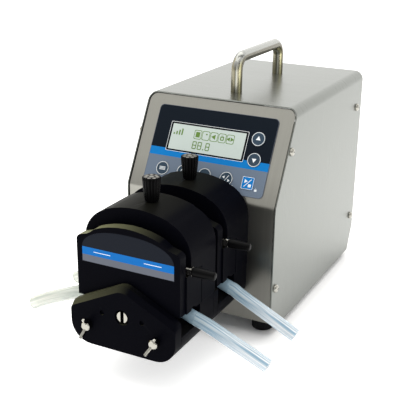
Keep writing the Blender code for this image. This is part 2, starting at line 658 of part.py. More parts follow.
def make_knob(n, face, mats):
    """Fluted adjusting knob, wider at the top, on a stem into the block."""
    centre = (KNOB_X, face + KNOB_DEPTH)
    flutes = 16

    def ring(z, r, flute):
        points = []
        for i in range(2 * flutes):
            a = math.pi * i / flutes
            reach = r - (flute if i % 2 else 0)
            points.append((centre[0] + reach * math.cos(a), centre[1] + reach * math.sin(a), z))
        return points

    low = BLOCK_TOP_Z + 0.0005
    rings = [
        ring(low - 0.020, 0.0039, 0.0),
        ring(low, 0.0039, 0.0),
        ring(low + 0.0002, 0.0068, 0.0004),
        ring(low + 0.006, 0.0077, 0.0008),
        ring(KNOB_TOP_Z - 0.009, 0.0087, 0.0010),
        ring(KNOB_TOP_Z - 0.001, 0.0093, 0.0010),
        ring(KNOB_TOP_Z, 0.0085, 0.0010),
    ]
    knob = new_object(f"head_{n}_knob", lambda bm: loft(bm, rings), mats["black"])
    pivot_at(knob, (centre[0], centre[1], low))


def make_rotor(n, face, mats):
    """Two flanges on a hub, with the rollers between them."""
    half = (SEAM_DEPTH - BED_FRONT) / 2 - 0.0004
    mid = face + (SEAM_DEPTH + BED_FRONT) / 2
    centre = (0, mid, SHAFT_Z)
    hub = [(-half, 0.0085), (half, 0.0085)]
    rotor = turned(f"head_{n}_rotor", "y", centre, hub, 20, mats["aluminium"])
    for side in (-1, 1):
        edge = sorted((side * half, side * (half - 0.0024)))
        disc = [(edge[0], 0.0242), (edge[1], 0.0242)]
        combine(rotor, turned(f"flange_{n}_{side}", "y", centre, disc, 28), "UNION")
    bore = [(-0.03, SHAFT_R + 0.0002), (0.03, SHAFT_R + 0.0002)]
    combine(rotor, turned(f"rotor_bore_{n}", "y", centre, bore, 16))
    orbit = ROLLER_REACH - ROLLER_R
    for i in range(ROLLER_COUNT):
        a = math.radians(90 + 360 / ROLLER_COUNT * (i + 0.5))
        x, z = orbit * math.cos(a), SHAFT_Z + orbit * math.sin(a)
        pin = [(-half + 0.001, PIN_R), (half - 0.001, PIN_R)]
        combine(rotor, turned(f"pin_{n}_{i}", "y", (x, mid, z), pin, 10), "UNION")
        wide = half - 0.0024 - TOUCH
        skin = [(-wide, ROLLER_R), (wide, ROLLER_R)]
        roller = turned(f"head_{n}_roller_{i + 1}", "y", (x, mid, z), skin, 20, mats["roller"])
        hole = [(-wide - 0.002, PIN_R + TOUCH), (wide + 0.002, PIN_R + TOUCH)]
        combine(roller, turned(f"roller_bore_{n}_{i}", "y", (x, mid, z), hole, 10))
        pivot_at(roller, (x, mid, z))
    pivot_at(rotor, (0, mid, SHAFT_Z))


def tube_squeeze(distance):
    """Half thickness of the tube at a distance along it from where it meets the rotor's arc."""
    t = min(max((distance - 0.004) / 0.016, 0), 1)
    return TUBE_FLAT_HALF + (TUBE_R - TUBE_FLAT_HALF) * t * t * (3 - 2 * t)


def tube_path():
    """Right half of the tube's line in a head, from its exit to the top of the rotor's arc.

    Each entry is a centre point, the angle of its outward side and its half thickness there.
    """
    ex, ez = TUBE_EXIT
    run = math.hypot(1, TUBE_EXIT_SLOPE)
    knee = (ex - TUBE_BEND / run, ez + TUBE_BEND * TUBE_EXIT_SLOPE / run)
    reach = math.hypot(knee[0], knee[1] - SHAFT_Z)
    touch = math.atan2(knee[1] - SHAFT_Z, knee[0]) + math.acos(TUBE_ARC_R / reach)
    tx, tz = TUBE_ARC_R * math.cos(touch), SHAFT_Z + TUBE_ARC_R * math.sin(touch)
    straight = math.hypot(knee[0] - tx, knee[1] - tz)
    share = (straight - TUBE_BEND * 0.8) / straight
    bend = (tx + (knee[0] - tx) * share, tz + (knee[1] - tz) * share)
    line = []
    for i in range(7):
        t = i / 6
        weights = ((1 - t) ** 2, 2 * t * (1 - t), t * t)
        x = weights[0] * ex + weights[1] * knee[0] + weights[2] * bend[0]
        z = weights[0] * ez + weights[1] * knee[1] + weights[2] * bend[1]
        slope_x = (1 - t) * (knee[0] - ex) + t * (bend[0] - knee[0])
        slope_z = (1 - t) * (knee[1] - ez) + t * (bend[1] - knee[1])
        line.append((x, z, math.atan2(-slope_x, slope_z)))
    line.append(((bend[0] + tx) / 2, (bend[1] + tz) / 2, touch))
    path = []
    for x, z, angle in line:
        path.append(((x, z), angle, tube_squeeze(math.hypot(x - tx, z - tz))))
    for i in range(5):
        a = touch + (math.pi / 2 - touch) * i / 4
        point = (TUBE_ARC_R * math.cos(a), SHAFT_Z + TUBE_ARC_R * math.sin(a))
        path.append((point, a, TUBE_FLAT_HALF))
    return path


def tube_underside(gap):
    """Points just below the tube, from its exit in to where it rises above the base."""
    points = []
    for (x, z), angle, half in tube_path():
        points.append((x - (half + gap) * math.cos(angle), z - (half + gap) * math.sin(angle)))
        if points[-1][1] > SPLIT_Z + 0.001:
            break
    return points


def make_pump_tube(n, face, mats):
    """The stretch of tube inside the head, pressed flat where it goes over the rotor."""
    sides = 14
    y = face + TUBE_DEPTH - TUBE_SHIFT

    def ring(point, angle, squeeze):
        share = (squeeze - TUBE_FLAT_HALF) / (TUBE_R - TUBE_FLAT_HALF)
        wide = TUBE_FLAT_WIDE + (TUBE_R - TUBE_FLAT_WIDE) * share
        points = []
        for k in range(sides):
            b = 2 * math.pi * k / sides
            out, across = squeeze * math.cos(b), wide * math.sin(b)
            points.append((point[0] + out * math.cos(angle), y + across, point[1] + out * math.sin(angle)))
        return points

    right = [ring(*entry) for entry in tube_path()]
    left = [[(-x, yy, z) for x, yy, z in entry] for entry in reversed(right[:-1])]
    soften(new_object(f"head_{n}_pump_tube", lambda bm: loft(bm, right + left), mats["tube"]))


def make_free_tubes(mats):
    """The four cut ends of tube that stand out of the heads, each in line with the tube inside."""
    end = Vector((TUBE_EXIT[0], 0, TUBE_EXIT[1]))
    along = Vector((1, 0, -TUBE_EXIT_SLOPE)).normalized()
    for name, (head, side, route) in TUBE_ROUTES.items():
        y = HEAD_FACES[head] + TUBE_DEPTH - TUBE_SHIFT
        points = [end + along * TOUCH, end + along * 0.005]
        points += [Vector((x, 0, z)) for x, z in route]
        curve = bpy.data.curves.new(name, "CURVE")
        curve.dimensions = "3D"
        curve.bevel_depth = TUBE_R
        curve.bevel_resolution = 2
        curve.use_fill_caps = True
        spline = curve.splines.new("POLY")
        spline.points.add(len(points) - 1)
        for point, place in zip(spline.points, points):
            point.co = (side * place.x, y, place.z, 1)
        curve.materials.append(mats["tube"])
        tube = bpy.data.objects.new(name, curve)
        bpy.context.scene.collection.objects.link(tube)


def cover_outline(inset):
    """Cover plate: two long slopes up to a round peak. inset pulls the slopes and the peak in."""
    half, r = BASE_HALF_WIDTH, BASE_CORNER_R
    rise = 0.49
    lean = math.atan(rise)
    corner_z = 0.0822
    drop = inset / math.cos(lean)
    right = [(0, BASE_BOTTOM_Z)] + arc(half - r, BASE_BOTTOM_Z + r, r, -90, 0, 8)
    side_r = 0.005
    corner_angle = 90 - math.degrees(lean)
    cz = corner_z - drop - side_r * 0.55
    right += arc(half - side_r, cz - 0.001, side_r, 0, corner_angle, 3)
    top_r = 0.016
    x_end, z_end = right[-1]
    apex_z = z_end + rise * x_end
    centre_z = apex_z - top_r / math.cos(lean)
    right += arc(0, centre_z, top_r, corner_angle, 90, 4)
    right[-1] = (0.0, right[-1][1])
    return mirror_outline(right)


def make_head_cover(mats):
    """The front head's cover plate, with a bevel along its upper edges."""
    rear = HEAD_FACES[0] - TOUCH
    front = HEAD_FACES[0] - COVER_DEPTH
    stations = [(rear, 0.0), (front + 0.0050, 0.0), (front, 0.0044)]
    rings = [[(x, y, z) for x, z in cover_outline(inset)] for y, inset in stations]
    cover = new_object("head_cover", lambda bm: loft(bm, rings), mats["black"])
    hole = [(-0.01, 0.0078), (0.02, 0.0078)]
    combine(cover, turned("cover_shaft_hole", "y", (0, front, SHAFT_Z), hole, 24))
    for side in (-1, 1):
        wing = (side * WING_X, front, WING_Z)
        hole = [(-0.01, 0.0029), (0.02, 0.0029)]
        combine(cover, turned(f"cover_wing_hole_{side}", "y", wing, hole, 12))
        recess = (side * 0.0223, front, SHAFT_Z)
        hole = [(-0.01, 0.0026), (0.002, 0.0026)]
        combine(cover, turned(f"cover_screw_recess_{side}", "y", recess, hole, 14))


def make_wing_screws(mats):
    """Steel wing screws that hold the cover plate."""
    front = HEAD_FACES[0] - COVER_DEPTH
    for side, name, tilt in ((-1, "wing_screw_left", 12), (1, "wing_screw_right", 28)):
        x, z = side * WING_X, WING_Z
        profile = [(-0.0072, 0.0040), (-0.0062, 0.0048), (-0.0007, 0.0048)]
        profile += [(-0.0006, 0.0026), (0.024, 0.0026)]
        screw = turned(name, "y", (x, front, z), profile, 14, mats["chrome"])
        a = math.radians(90 - tilt)
        for turn in (1, -1):
            along = Vector((math.cos(a) * turn, 0, math.sin(a) * turn))
            across = Vector((-math.sin(a) * turn, 0, math.cos(a) * turn))
            centre = Vector((x, front, z))
            rings = []
            for offset, shrink in ((-0.0014, 0.0005), (-0.0008, 0), (0.0008, 0), (0.0014, 0.0005)):
                middle = centre + along * 0.007 + Vector((0, -0.008, 0))
                ring = []
                for r, t in WING_SHAPE:
                    point = centre + along * r + Vector((0, t, 0))
                    point += (middle - point).normalized() * shrink
                    ring.append(point + across * offset)
                rings.append(ring)
            wing = new_object(f"wing_{name}_{turn}", lambda bm, rings=rings: loft(bm, rings))
            combine(screw, wing, "UNION")
        pivot_at(screw, (x, front, z))


def make_head_spacer(mats):
    """Coupling plate between the two heads."""
    y0, y1 = HEAD_FACES[0] + HEAD_DEPTH, HEAD_FACES[1]
    outline = base_outline(SPLIT_Z - 0.001, [(0, SPLIT_Z - 0.001)])
    spacer = prism_y("head_spacer", outline, y0 + 0.0001, y1, mats["black"])
    combine(spacer, turned("spacer_bore", "y", (0, y0, SHAFT_Z), [(-0.01, 0.0075), (0.03, 0.0075)], 20))


def make_drive_shaft(mats):
    """One shaft from the motor through both heads, with a slotted end in the cover plate."""
    front = HEAD_FACES[0] - COVER_DEPTH
    end = DRIVE_Y + 0.040
    profile = [(front + 0.0008, SHAFT_END_R - 0.0003), (front + 0.0012, SHAFT_END_R)]
    profile += [(front + 0.011, SHAFT_END_R), (front + 0.0112, SHAFT_R), (end, SHAFT_R)]
    shaft = turned("drive_shaft", "y", (0, 0, SHAFT_Z), profile, 16, mats["chrome"])
    half = SHAFT_SLOT / 2
    low, high = (-half, front - 0.01, SHAFT_Z - 0.01), (half, front + 0.0052, SHAFT_Z + 0.01)
    combine(shaft, box("shaft_slot", low, high))
    pivot_at(shaft, (0, 0, SHAFT_Z))


def main():
    clear_scene()
    mats = make_materials()
    make_wrap_cover(mats)
    make_front_panel(mats)
    make_base_tray(mats)
    make_rear_panel(mats)
    make_rear_fittings(mats)
    make_handle(mats)
    make_feet(mats)
    make_panel_film(mats)
    make_electronics(mats)
    make_motor(mats)
    make_head_cover(mats)
    make_wing_screws(mats)
    make_head_spacer(mats)
    make_drive_shaft(mats)
    for n, face in enumerate(HEAD_FACES, 1):
        make_head_base(n, face, mats)
        make_guide_posts(n, face, mats)
        make_head_frame(n, face, mats)
        make_head_block(n, face, mats)
        make_lever(n, face, mats)
        make_knob(n, face, mats)
        make_rotor(n, face, mats)
        make_pump_tube(n, face, mats)
    make_free_tubes(mats)


main()
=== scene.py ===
"""Looks of a two-head peristaltic pump: a stainless drive with a sloping keypad and two black heads.

Metres, +Z up, -Y is the front, origin on the floor under the middle of the pump.
"""

import json
import math

import bmesh
import bpy
from mathutils import Matrix, Vector

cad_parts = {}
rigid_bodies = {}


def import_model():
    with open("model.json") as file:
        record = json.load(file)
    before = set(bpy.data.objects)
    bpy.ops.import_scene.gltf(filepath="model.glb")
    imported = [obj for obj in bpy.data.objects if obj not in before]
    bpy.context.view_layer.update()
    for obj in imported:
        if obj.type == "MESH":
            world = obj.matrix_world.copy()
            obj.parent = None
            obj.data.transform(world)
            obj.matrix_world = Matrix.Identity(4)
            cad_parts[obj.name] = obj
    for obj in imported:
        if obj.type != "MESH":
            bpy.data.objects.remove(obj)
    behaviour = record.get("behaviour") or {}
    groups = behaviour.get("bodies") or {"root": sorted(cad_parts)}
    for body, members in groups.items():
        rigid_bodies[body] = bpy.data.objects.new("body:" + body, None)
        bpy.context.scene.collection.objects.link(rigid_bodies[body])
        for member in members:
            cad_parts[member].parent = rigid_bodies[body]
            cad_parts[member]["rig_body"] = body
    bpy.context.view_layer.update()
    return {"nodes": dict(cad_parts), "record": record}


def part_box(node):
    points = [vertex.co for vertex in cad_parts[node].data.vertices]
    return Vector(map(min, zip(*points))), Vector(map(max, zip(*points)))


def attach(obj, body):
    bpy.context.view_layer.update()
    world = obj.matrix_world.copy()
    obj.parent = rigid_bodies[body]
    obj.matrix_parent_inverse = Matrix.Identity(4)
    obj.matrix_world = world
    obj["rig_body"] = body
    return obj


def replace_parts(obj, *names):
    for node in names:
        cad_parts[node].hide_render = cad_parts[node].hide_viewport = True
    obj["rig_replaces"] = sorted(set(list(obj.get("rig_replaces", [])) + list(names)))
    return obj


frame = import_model()
nodes = frame["nodes"]
slots = {entry["node"]: entry["material_slot"] for entry in frame["record"]["subparts"]}

# Drive case, from the frame where it can be
case_low, case_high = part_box("wrap_cover")
DRIVE_Y = case_low[1]
WIDTH = 2 * case_high[0]
DEPTH = case_high[1] - case_low[1]
HEIGHT = case_high[2]
FOLD_Z = 0.1516
TOP_SETBACK = 0.0523
SKIRT_Z = case_low[2]
PANEL_BOTTOM_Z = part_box("front_panel")[0][2]
FRONT_CORNER_DEPTH = 0.022
CHAMFER_Z = 0.039
CHAMFER_DEPTH = 0.015
SHEET = 0.0015
CASE_CORNER_R = 0.011
PANEL_INSET = 0.0016
PANEL_GAP = 0.0010
FOLD_BEND_R = 0.003

# Heads, one in front of the other; depths run from each head's front face
HEAD_FACES = [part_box(f"head_{n}_front_frame")[0][1] for n in (1, 2)]
knob_low, knob_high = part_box("head_1_knob")
KNOB_X = (knob_low[0] + knob_high[0]) / 2
KNOB_DEPTH = (knob_low[1] + knob_high[1]) / 2 - HEAD_FACES[0]
KNOB_BASE_Z = 0.1789
KNOB_TOP_Z = knob_high[2]
KNOB_FLUTES = 18

# Label on each front frame; a smaller shoulder value makes its arch fuller
LABEL_HALF_WIDTH = 0.0506
LABEL_LOW_Z = 0.1222
LABEL_BAND_LOW_Z = 0.1294
LABEL_BAND_TOP_Z = 0.1373
LABEL_ARCH_HEIGHT = 0.0203
LABEL_SHOULDER = 0.83

# Shaft end in the front cover
SHAFT_Z = 0.0775
SHAFT_END_R = 0.0061
SHAFT_SLOT = 0.0037

# Tubing
TUBE_R = 0.0069
TUBE_BORE_R = 0.0046
TUBE_Y = 0.0279
TUBE_STEPS = 32
TUBE_EXIT = (0.0585, 0.0730)
TUBE_EXIT_SLOPE = 0.30
TUBE_ROUTES = {
    "head_1_tube_right": (0, 1, [(0.0744, 0.0678), (0.0959, 0.0589), (0.1171, 0.0502), (0.1361, 0.0420)]),
    "head_1_tube_left": (0, -1, [(0.0772, 0.0700), (0.0888, 0.0653), (0.1151, 0.0542), (0.1362, 0.0432)]),
    "head_2_tube_right": (1, 1, [(0.0703, 0.0674), (0.0933, 0.0561), (0.1161, 0.0448), (0.1334, 0.0360)]),
    "head_2_tube_left": (1, -1, [(0.0740, 0.0692), (0.0920, 0.0622), (0.1150, 0.0512), (0.1355, 0.0411)]),
}

# Keypad film: places are (across, up the slope from the fold)
FILM_HALF_WIDTH = 0.072
FILM_SPAN = (0.0084, 0.0956)
BLUE_BAND = (0.0377, 0.0466)
WINDOW_U = (-0.0525, 0.0406)
WINDOW_V = (0.0447, 0.0770)
KEY_R = 0.0076
ROUND_KEYS = {
    "key_up": (0.0531, 0.0712),
    "key_down": (0.0536, 0.0482),
    "key_menu": (-0.0509, 0.0234),
    "key_mode": (-0.0250, 0.0234),
    "key_prime": (0.0010, 0.0234),
    "key_direction": (0.0270, 0.0234),
}
START_KEY = (0.0525, 0.0227, 0.0068)
KEY_CLEARANCE = 0.0003
FILM_FACE = -0.0005
FILM_BACK = 0.0003 - PANEL_INSET
KEY_FACE = 0.0001
SCREEN_MARGIN = (0.0021, 0.00168)
SCREEN_FACE = FILM_FACE + 0.00016
ICON_PITCH = 0.0098

# Handle: each leg's place is its distance behind the drive's front
HANDLE_NEAR = 0.091
HANDLE_FAR = 0.211
handle_low, handle_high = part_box("handle")
HANDLE_R = handle_high[0] - 0.0001
HANDLE_TOP_Z = handle_high[2] - 0.0001
HANDLE_BEND_R = 0.0145

# Side screws: (depth behind the front, height), the head's (distance out, radius) and its cross
SIDE_SCREWS = [(0.0367, 0.2045), (0.2593, 0.2049), (0.2652, 0.0567), (0.0080, 0.0587)]
SCREW_PROFILE = (
    (0.0, 0.0046),
    (0.0010, 0.0046),
    (0.0020, 0.0042),
    (0.0029, 0.0033),
    (0.0034, 0.0020),
    (0.0035, 0.0005),
)
SCREW_CROSS = (0.0003, 0.0017)
SCREW_CROSS_FLOOR = 0.0020

# Camera: place, then turn about Z, tilt and roll in radians, then the lens in millimetres
CAMERA_AT = (0.39365, -0.81643, 0.45951)
CAMERA_YAW = 0.464887
CAMERA_PITCH = 0.359170
CAMERA_ROLL = 0.013587
CAMERA_LENS = 73.18

# Directions up the sloping front and square out of it
SLOPE_UP = Vector((0, TOP_SETBACK, HEIGHT - 0.002 - FOLD_Z)).normalized()
SLOPE_OUT = Vector((0, -SLOPE_UP.z, SLOPE_UP.y))

# Colours that more than one material uses, as linear red, green and blue
NAVY = (0.0050, 0.0085, 0.0140)
BLUE = (0.006, 0.175, 0.500)
GREY_BLUE = (0.140, 0.178, 0.235)
SLATE = (0.035, 0.058, 0.085)
WHITE_INK = (0.80, 0.84, 0.86)
BLACK_COLOUR = (0.0017, 0.0018, 0.0034)

# The side that the lamp comes from, for the highlight painted on the heads' edges
HIGHLIGHT_FROM = Vector((-0.60, -0.10, 0.79)).normalized()

# Painted reflections on the handle's legs: lines from 0 on one side to 1 on the other
REFLECTIONS_ACROSS = Vector((0.89, 0.45, 0)).normalized()
BAR_REFLECTIONS = (
    (0.00, (0.20, 0.19, 0.14)),
    (0.12, (0.27, 0.26, 0.20)),
    (0.25, (0.24, 0.22, 0.15)),
    (0.34, (0.10, 0.10, 0.08)),
    (0.44, (0.52, 0.52, 0.46)),
    (0.56, (0.33, 0.31, 0.24)),
    (0.72, (0.72, 0.68, 0.40)),
    (0.84, (0.18, 0.16, 0.10)),
    (0.94, (0.13, 0.12, 0.09)),
    (1.00, (0.34, 0.34, 0.32)),
)


# ---------------------------------------------------------------- camera

def place_camera():
    """The camera stands to the right of the pump's front and looks down at it."""
    forward = Vector(
        (
            -math.sin(CAMERA_YAW) * math.cos(CAMERA_PITCH),
            math.cos(CAMERA_YAW) * math.cos(CAMERA_PITCH),
            -math.sin(CAMERA_PITCH),
        )
    )
    right = Vector((math.cos(CAMERA_YAW), math.sin(CAMERA_YAW), 0))
    up = right.cross(forward)
    c, s = math.cos(CAMERA_ROLL), math.sin(CAMERA_ROLL)
    x_axis = right * c + up * s
    y_axis = up * c - right * s
    data = bpy.data.cameras.new("camera")
    data.lens = CAMERA_LENS
    data.sensor_width = 36
    data.clip_end = 30
    camera = bpy.data.objects.new("camera", data)
    camera.matrix_world = Matrix(
        (
            (x_axis.x, y_axis.x, -forward.x, CAMERA_AT[0]),
            (x_axis.y, y_axis.y, -forward.y, CAMERA_AT[1]),
            (x_axis.z, y_axis.z, -forward.z, CAMERA_AT[2]),
            (0, 0, 0, 1),
        )
    )
    bpy.context.scene.collection.objects.link(camera)
    bpy.context.scene.camera = camera


place_camera()


# ---------------------------------------------------------------- shader helpers

def new_node(tree, kind, operation=None):
    node = tree.nodes.new(f"ShaderNode{kind}")
    if operation:
        node.operation = operation
    return node


def feed(tree, socket, value):
    """Sets an input from another node's output, a colour or a number."""
    if isinstance(value, bpy.types.NodeSocket):
        tree.links.new(value, socket)
    elif socket.type == "RGBA":
        socket.default_value = (*value, 1)
    else:
        socket.default_value = value


def number_math(tree, operation, a, b):
    """Two numbers put together by a Math node."""
    node = new_node(tree, "Math", operation)
    feed(tree, node.inputs[0], a)
    feed(tree, node.inputs[1], b)
    return node.outputs["Value"]


def vector_math(tree, operation, a, b=None):
    """One or two vectors put through a Vector Math node."""
    node = new_node(tree, "VectorMath", operation)
    feed(tree, node.inputs[0], a)
    if b is not None:
        feed(tree, node.inputs[1], b)
    return node.outputs["Value" if operation == "DOT_PRODUCT" else "Vector"]


def ranged(tree, value, start, end, low=0.0, high=1.0):
    """low up to start, high from end on, and a straight line in between."""
    node = new_node(tree, "MapRange")
    feed(tree, node.inputs["Value"], value)
    feed(tree, node.inputs["From Min"], start)
    feed(tree, node.inputs["From Max"], end)
    feed(tree, node.inputs["To Min"], low)
    feed(tree, node.inputs["To Max"], high)
    return node.outputs["Result"]


def blended(tree, amount, a, b):
    """Colour a where the amount is 0 and colour b where it is 1."""
    node = new_node(tree, "Mix")
    node.data_type = "RGBA"
    feed(tree, node.inputs["Factor"], amount)
    feed(tree, node.inputs["A"], a)
    feed(tree, node.inputs["B"], b)
    return node.outputs["Result"]


def ramped(tree, value, stops):
    """A colour ramp through (place, colour) stops."""
    node = new_node(tree, "ValToRGB")
    steps = node.color_ramp.elements
    for step, (position, colour) in zip(steps, (stops[0], stops[-1])):
        step.position = position
        step.color = (*colour, 1)
    for position, colour in stops[1:-1]:
        steps.new(position).color = (*colour, 1)
    feed(tree, node.inputs["Fac"], value)
    return node.outputs["Color"]


def noise_at(tree, vector, detail, scale, offset=(0, 0, 0)):
    """Smooth noise, with its scale in features per unit of each axis."""
    mapping = new_node(tree, "Mapping")
    mapping.inputs["Location"].default_value = offset
    mapping.inputs["Scale"].default_value = scale
    noise = new_node(tree, "TexNoise")
    noise.inputs["Scale"].default_value = 1.0
    noise.inputs["Detail"].default_value = detail
    tree.links.new(vector, mapping.inputs["Vector"])
    tree.links.new(mapping.outputs["Vector"], noise.inputs["Vector"])
    return noise.outputs["Fac"]


def object_place(tree):
    return new_node(tree, "TexCoord").outputs["Object"]


def surface_normal(tree):
    return new_node(tree, "NewGeometry").outputs["Normal"]


def part(tree, vector, axis):
    node = new_node(tree, "SeparateXYZ")
    tree.links.new(vector, node.inputs["Vector"])
    return node.outputs[axis]


def base_colour(mat):
    return mat.node_tree.nodes["Principled BSDF"].inputs["Base Color"]


# ---------------------------------------------------------------- materials

def node_material(name, colour, roughness, metallic=0.0, **settings):
    """A Principled material with fine variation in colour, roughness and height.

    stretch is the noise's scale along X, Y and Z, in features per metre.
    """
    stretch = settings.pop("stretch", (300, 300, 300))
    tint = settings.pop("tint", 0.06)
    rough_spread = settings.pop("rough_spread", 0.05)
    bump = settings.pop("bump", 0.05)
    bump_depth = settings.pop("bump_depth", 0.0001)
    mat = bpy.data.materials.new(name)
    mat.use_nodes = True
    tree = mat.node_tree
    shader = tree.nodes["Principled BSDF"]
    shader.inputs["Metallic"].default_value = metallic
    for key, value in settings.items():
        shader.inputs[key.replace("_", " ")].default_value = value
    grain = noise_at(tree, object_place(tree), 3.0, stretch)
    darker = [c * (1 - tint) for c in colour]
    lighter = [min(1, c * (1 + tint)) for c in colour]
    tree.links.new(blended(tree, grain, darker, lighter), base_colour(mat))
    least, most = max(0, roughness - rough_spread), min(1, roughness + rough_spread)
    tree.links.new(ranged(tree, grain, 0.0, 1.0, least, most), shader.inputs["Roughness"])
    relief = new_node(tree, "Bump")
    relief.inputs["Strength"].default_value = bump
    relief.inputs["Distance"].default_value = bump_depth
    tree.links.new(grain, relief.inputs["Height"])
    tree.links.new(relief.outputs["Normal"], shader.inputs["Normal"])
    return mat


def add_painted_highlight(mat, colour, far_share):
    """Painted highlight: surfaces that face up and to the left turn to this colour, as edges lit by a
    lamp from that side look.

    far_share is what is left of the painted highlight on the right side of a pump head.
    """
    tree = mat.node_tree
    normal = surface_normal(tree)
    towards_lamp = vector_math(tree, "DOT_PRODUCT", normal, HIGHLIGHT_FROM)
    lit = ranged(tree, towards_lamp, 0.42, 0.95)
    upward = ranged(tree, part(tree, normal, "Z"), 0.25, 0.60)
    fade = ranged(tree, part(tree, object_place(tree), "X"), -0.045, 0.040, 1.0, far_share)
    amount = number_math(tree, "MULTIPLY", number_math(tree, "MINIMUM", lit, upward), fade)
    plain = base_colour(mat).links[0].from_socket
    tree.links.new(blended(tree, amount, plain, colour), base_colour(mat))
    return mat


def paint_shade_below(mat, top, share):
    """Painted shade: fades the colour to this share of itself from a height down to the foot of the
    sheet.
    """
    tree = mat.node_tree
    node = new_node(tree, "VectorMath", "SCALE")
    height = part(tree, object_place(tree), "Z")
    tree.links.new(ranged(tree, height, top - 0.09, top, share, 1.0), node.inputs["Scale"])
    tree.links.new(base_colour(mat).links[0].from_socket, node.inputs[0])
    tree.links.new(node.outputs["Vector"], base_colour(mat))


def film_material():
    """The keypad film: grey-blue below, then a blue band, then navy, by height up the slope."""
    mat = node_material("film_print", NAVY, 0.32, tint=0.03, bump=0.03, Specular_IOR_Level=0.06)
    tree = mat.node_tree
    height = vector_math(tree, "DOT_PRODUCT", object_place(tree), SLOPE_UP)
    fold = Vector((0, DRIVE_Y, FOLD_Z)).dot(SLOPE_UP)
    colour = GREY_BLUE
    for edge, above in zip(BLUE_BAND, (BLUE, NAVY)):
        over = number_math(tree, "GREATER_THAN", height, fold + edge)
        colour = blended(tree, over, colour, above)
    tree.links.new(colour, base_colour(mat))
    return mat


def add_painted_reflections(mat, reflections, plain):
    """Painted reflections: dark, bright and gold lines along a polished bar's upright stretches, as it
    would mirror a room.
    """
    tree = mat.node_tree
    normal = surface_normal(tree)
    turn = vector_math(tree, "DOT_PRODUCT", normal, REFLECTIONS_ACROSS)
    lines = ramped(tree, ranged(tree, turn, -1.0, 1.0), reflections)
    level = ranged(tree, part(tree, normal, "Z"), 0.15, 0.45)
    tree.links.new(blended(tree, level, lines, plain), base_colour(mat))


def add_painted_streaks(mat, near, dark, light):
    """Painted highlights: streaks along a tube, from its own (length, turn) coordinates, with painted
    shade that darkens it near its head.
    """
    tree = mat.node_tree
    place = new_node(tree, "UVMap").outputs["UV"]
    highlight_streaks = noise_at(tree, place, 2.0, (1.2, 19.0, 1.0), (2.4, 0, 0))
    colour = ramped(tree, highlight_streaks, ((0.38, dark), (0.62, light)))
    tint = blended(tree, ranged(tree, part(tree, place, "X"), 0.0, 0.60), near, (1, 1, 1))
    tree.links.new(vector_math(tree, "MULTIPLY", colour, tint), base_colour(mat))
    return mat


def add_glow(mat, strength):
    """A floor that glows evenly like a light table, except under the drive, where the glow stops to paint
    the shadow beneath it.
    """
    tree = mat.node_tree
    from_middle = vector_math(tree, "SUBTRACT", object_place(tree), (0, DRIVE_Y + DEPTH / 2, 0))
    to_edge = vector_math(
        tree, "SUBTRACT", vector_math(tree, "ABSOLUTE", from_middle), (WIDTH / 2, DEPTH / 2, 0)
    )
    beyond = number_math(tree, "MAXIMUM", part(tree, to_edge, "X"), part(tree, to_edge, "Y"))
    glow = ranged(tree, beyond, -0.010, 0.035, 0.0, strength)
    tree.links.new(glow, tree.nodes["Principled BSDF"].inputs["Emission Strength"])


def black_plastic(name, painted_highlight, far_share):
    mat = node_material(
        name, BLACK_COLOUR, 0.42, stretch=(700, 700, 700), tint=0.25, bump=0.08, Specular_IOR_Level=0.012
    )
    return add_painted_highlight(mat, painted_highlight, far_share)


def label_print(name, colour, roughness=0.42):
    return node_material(name, colour, roughness, tint=0.03, Specular_IOR_Level=0.06)


STEEL = node_material(
    "case_steel",
    (0.194, 0.203, 0.188),
    0.30,
    1.0,
    stretch=(10, 1300, 10),
    tint=0.13,
    rough_spread=0.08,
    bump=0.10,
)
PANEL_STEEL = node_material(
    "panel_steel", (0.36, 0.355, 0.32), 0.30, 1.0, stretch=(900, 12, 12), tint=0.07, bump=0.04
)
# Painted shade and painted reflection of the dark heads: the lower front panel darkens towards its foot
paint_shade_below(PANEL_STEEL, FOLD_Z + 0.03, 0.45)
CHROME = node_material(
    "polished", (0.38, 0.37, 0.33), 0.10, 1.0, tint=0.03, rough_spread=0.04, bump=0.02
)
BAR = node_material("polished_bar", (0.38, 0.37, 0.33), 0.26, 1.0, rough_spread=0.03, bump=0.01)
add_painted_reflections(BAR, BAR_REFLECTIONS, (0.355, 0.36, 0.34))
ZINC = node_material("zinc", (0.30, 0.305, 0.31), 0.42, 1.0)
ALUMINIUM = node_material("machined", (0.70, 0.71, 0.72), 0.35, 1.0)

# Black mouldings with a painted highlight: the second colour goes on edges that face up and to the left,
# the number is what is left of it on the right
BLACK = black_plastic("black_plastic", (0.0090, 0.0090, 0.0062), 1.0)
BLACK_PLATE = black_plastic("black_plate", (0.160, 0.162, 0.090), 0.10)
BLACK_COVER = black_plastic("black_cover", (0.070, 0.070, 0.040), 0.15)
BLACK_SMOOTH = node_material(
    "black_grip", (0.0020, 0.0020, 0.0022), 0.30, tint=0.2, bump=0.03, Specular_IOR_Level=0.05
)
# Painted shade: a dark sheet for the deep slot in the shaft's end
SLOT_SHADE = node_material("slot_shade", (0.0005, 0.0005, 0.0005), 0.9, Specular_IOR_Level=0.0)
# Painted highlight: the black knob's top lobes turned grey where the light from above falls on them
KNOB_LOBE_HIGHLIGHT = node_material(
    "knob_face_highlight",
    (0.19, 0.185, 0.165),
    0.55,
    stretch=(500, 500, 500),
    tint=0.5,
    bump=0.4,
    bump_depth=0.0004,
)
RUBBER = node_material("rubber", (0.004, 0.004, 0.005), 0.75, Specular_IOR_Level=0.1)
MOTOR = node_material("motor_black", (0.02, 0.02, 0.022), 0.5)
BOARD = node_material("board_green", (0.02, 0.16, 0.07), 0.45)
NYLON = node_material("nylon", (0.78, 0.77, 0.72), 0.38)

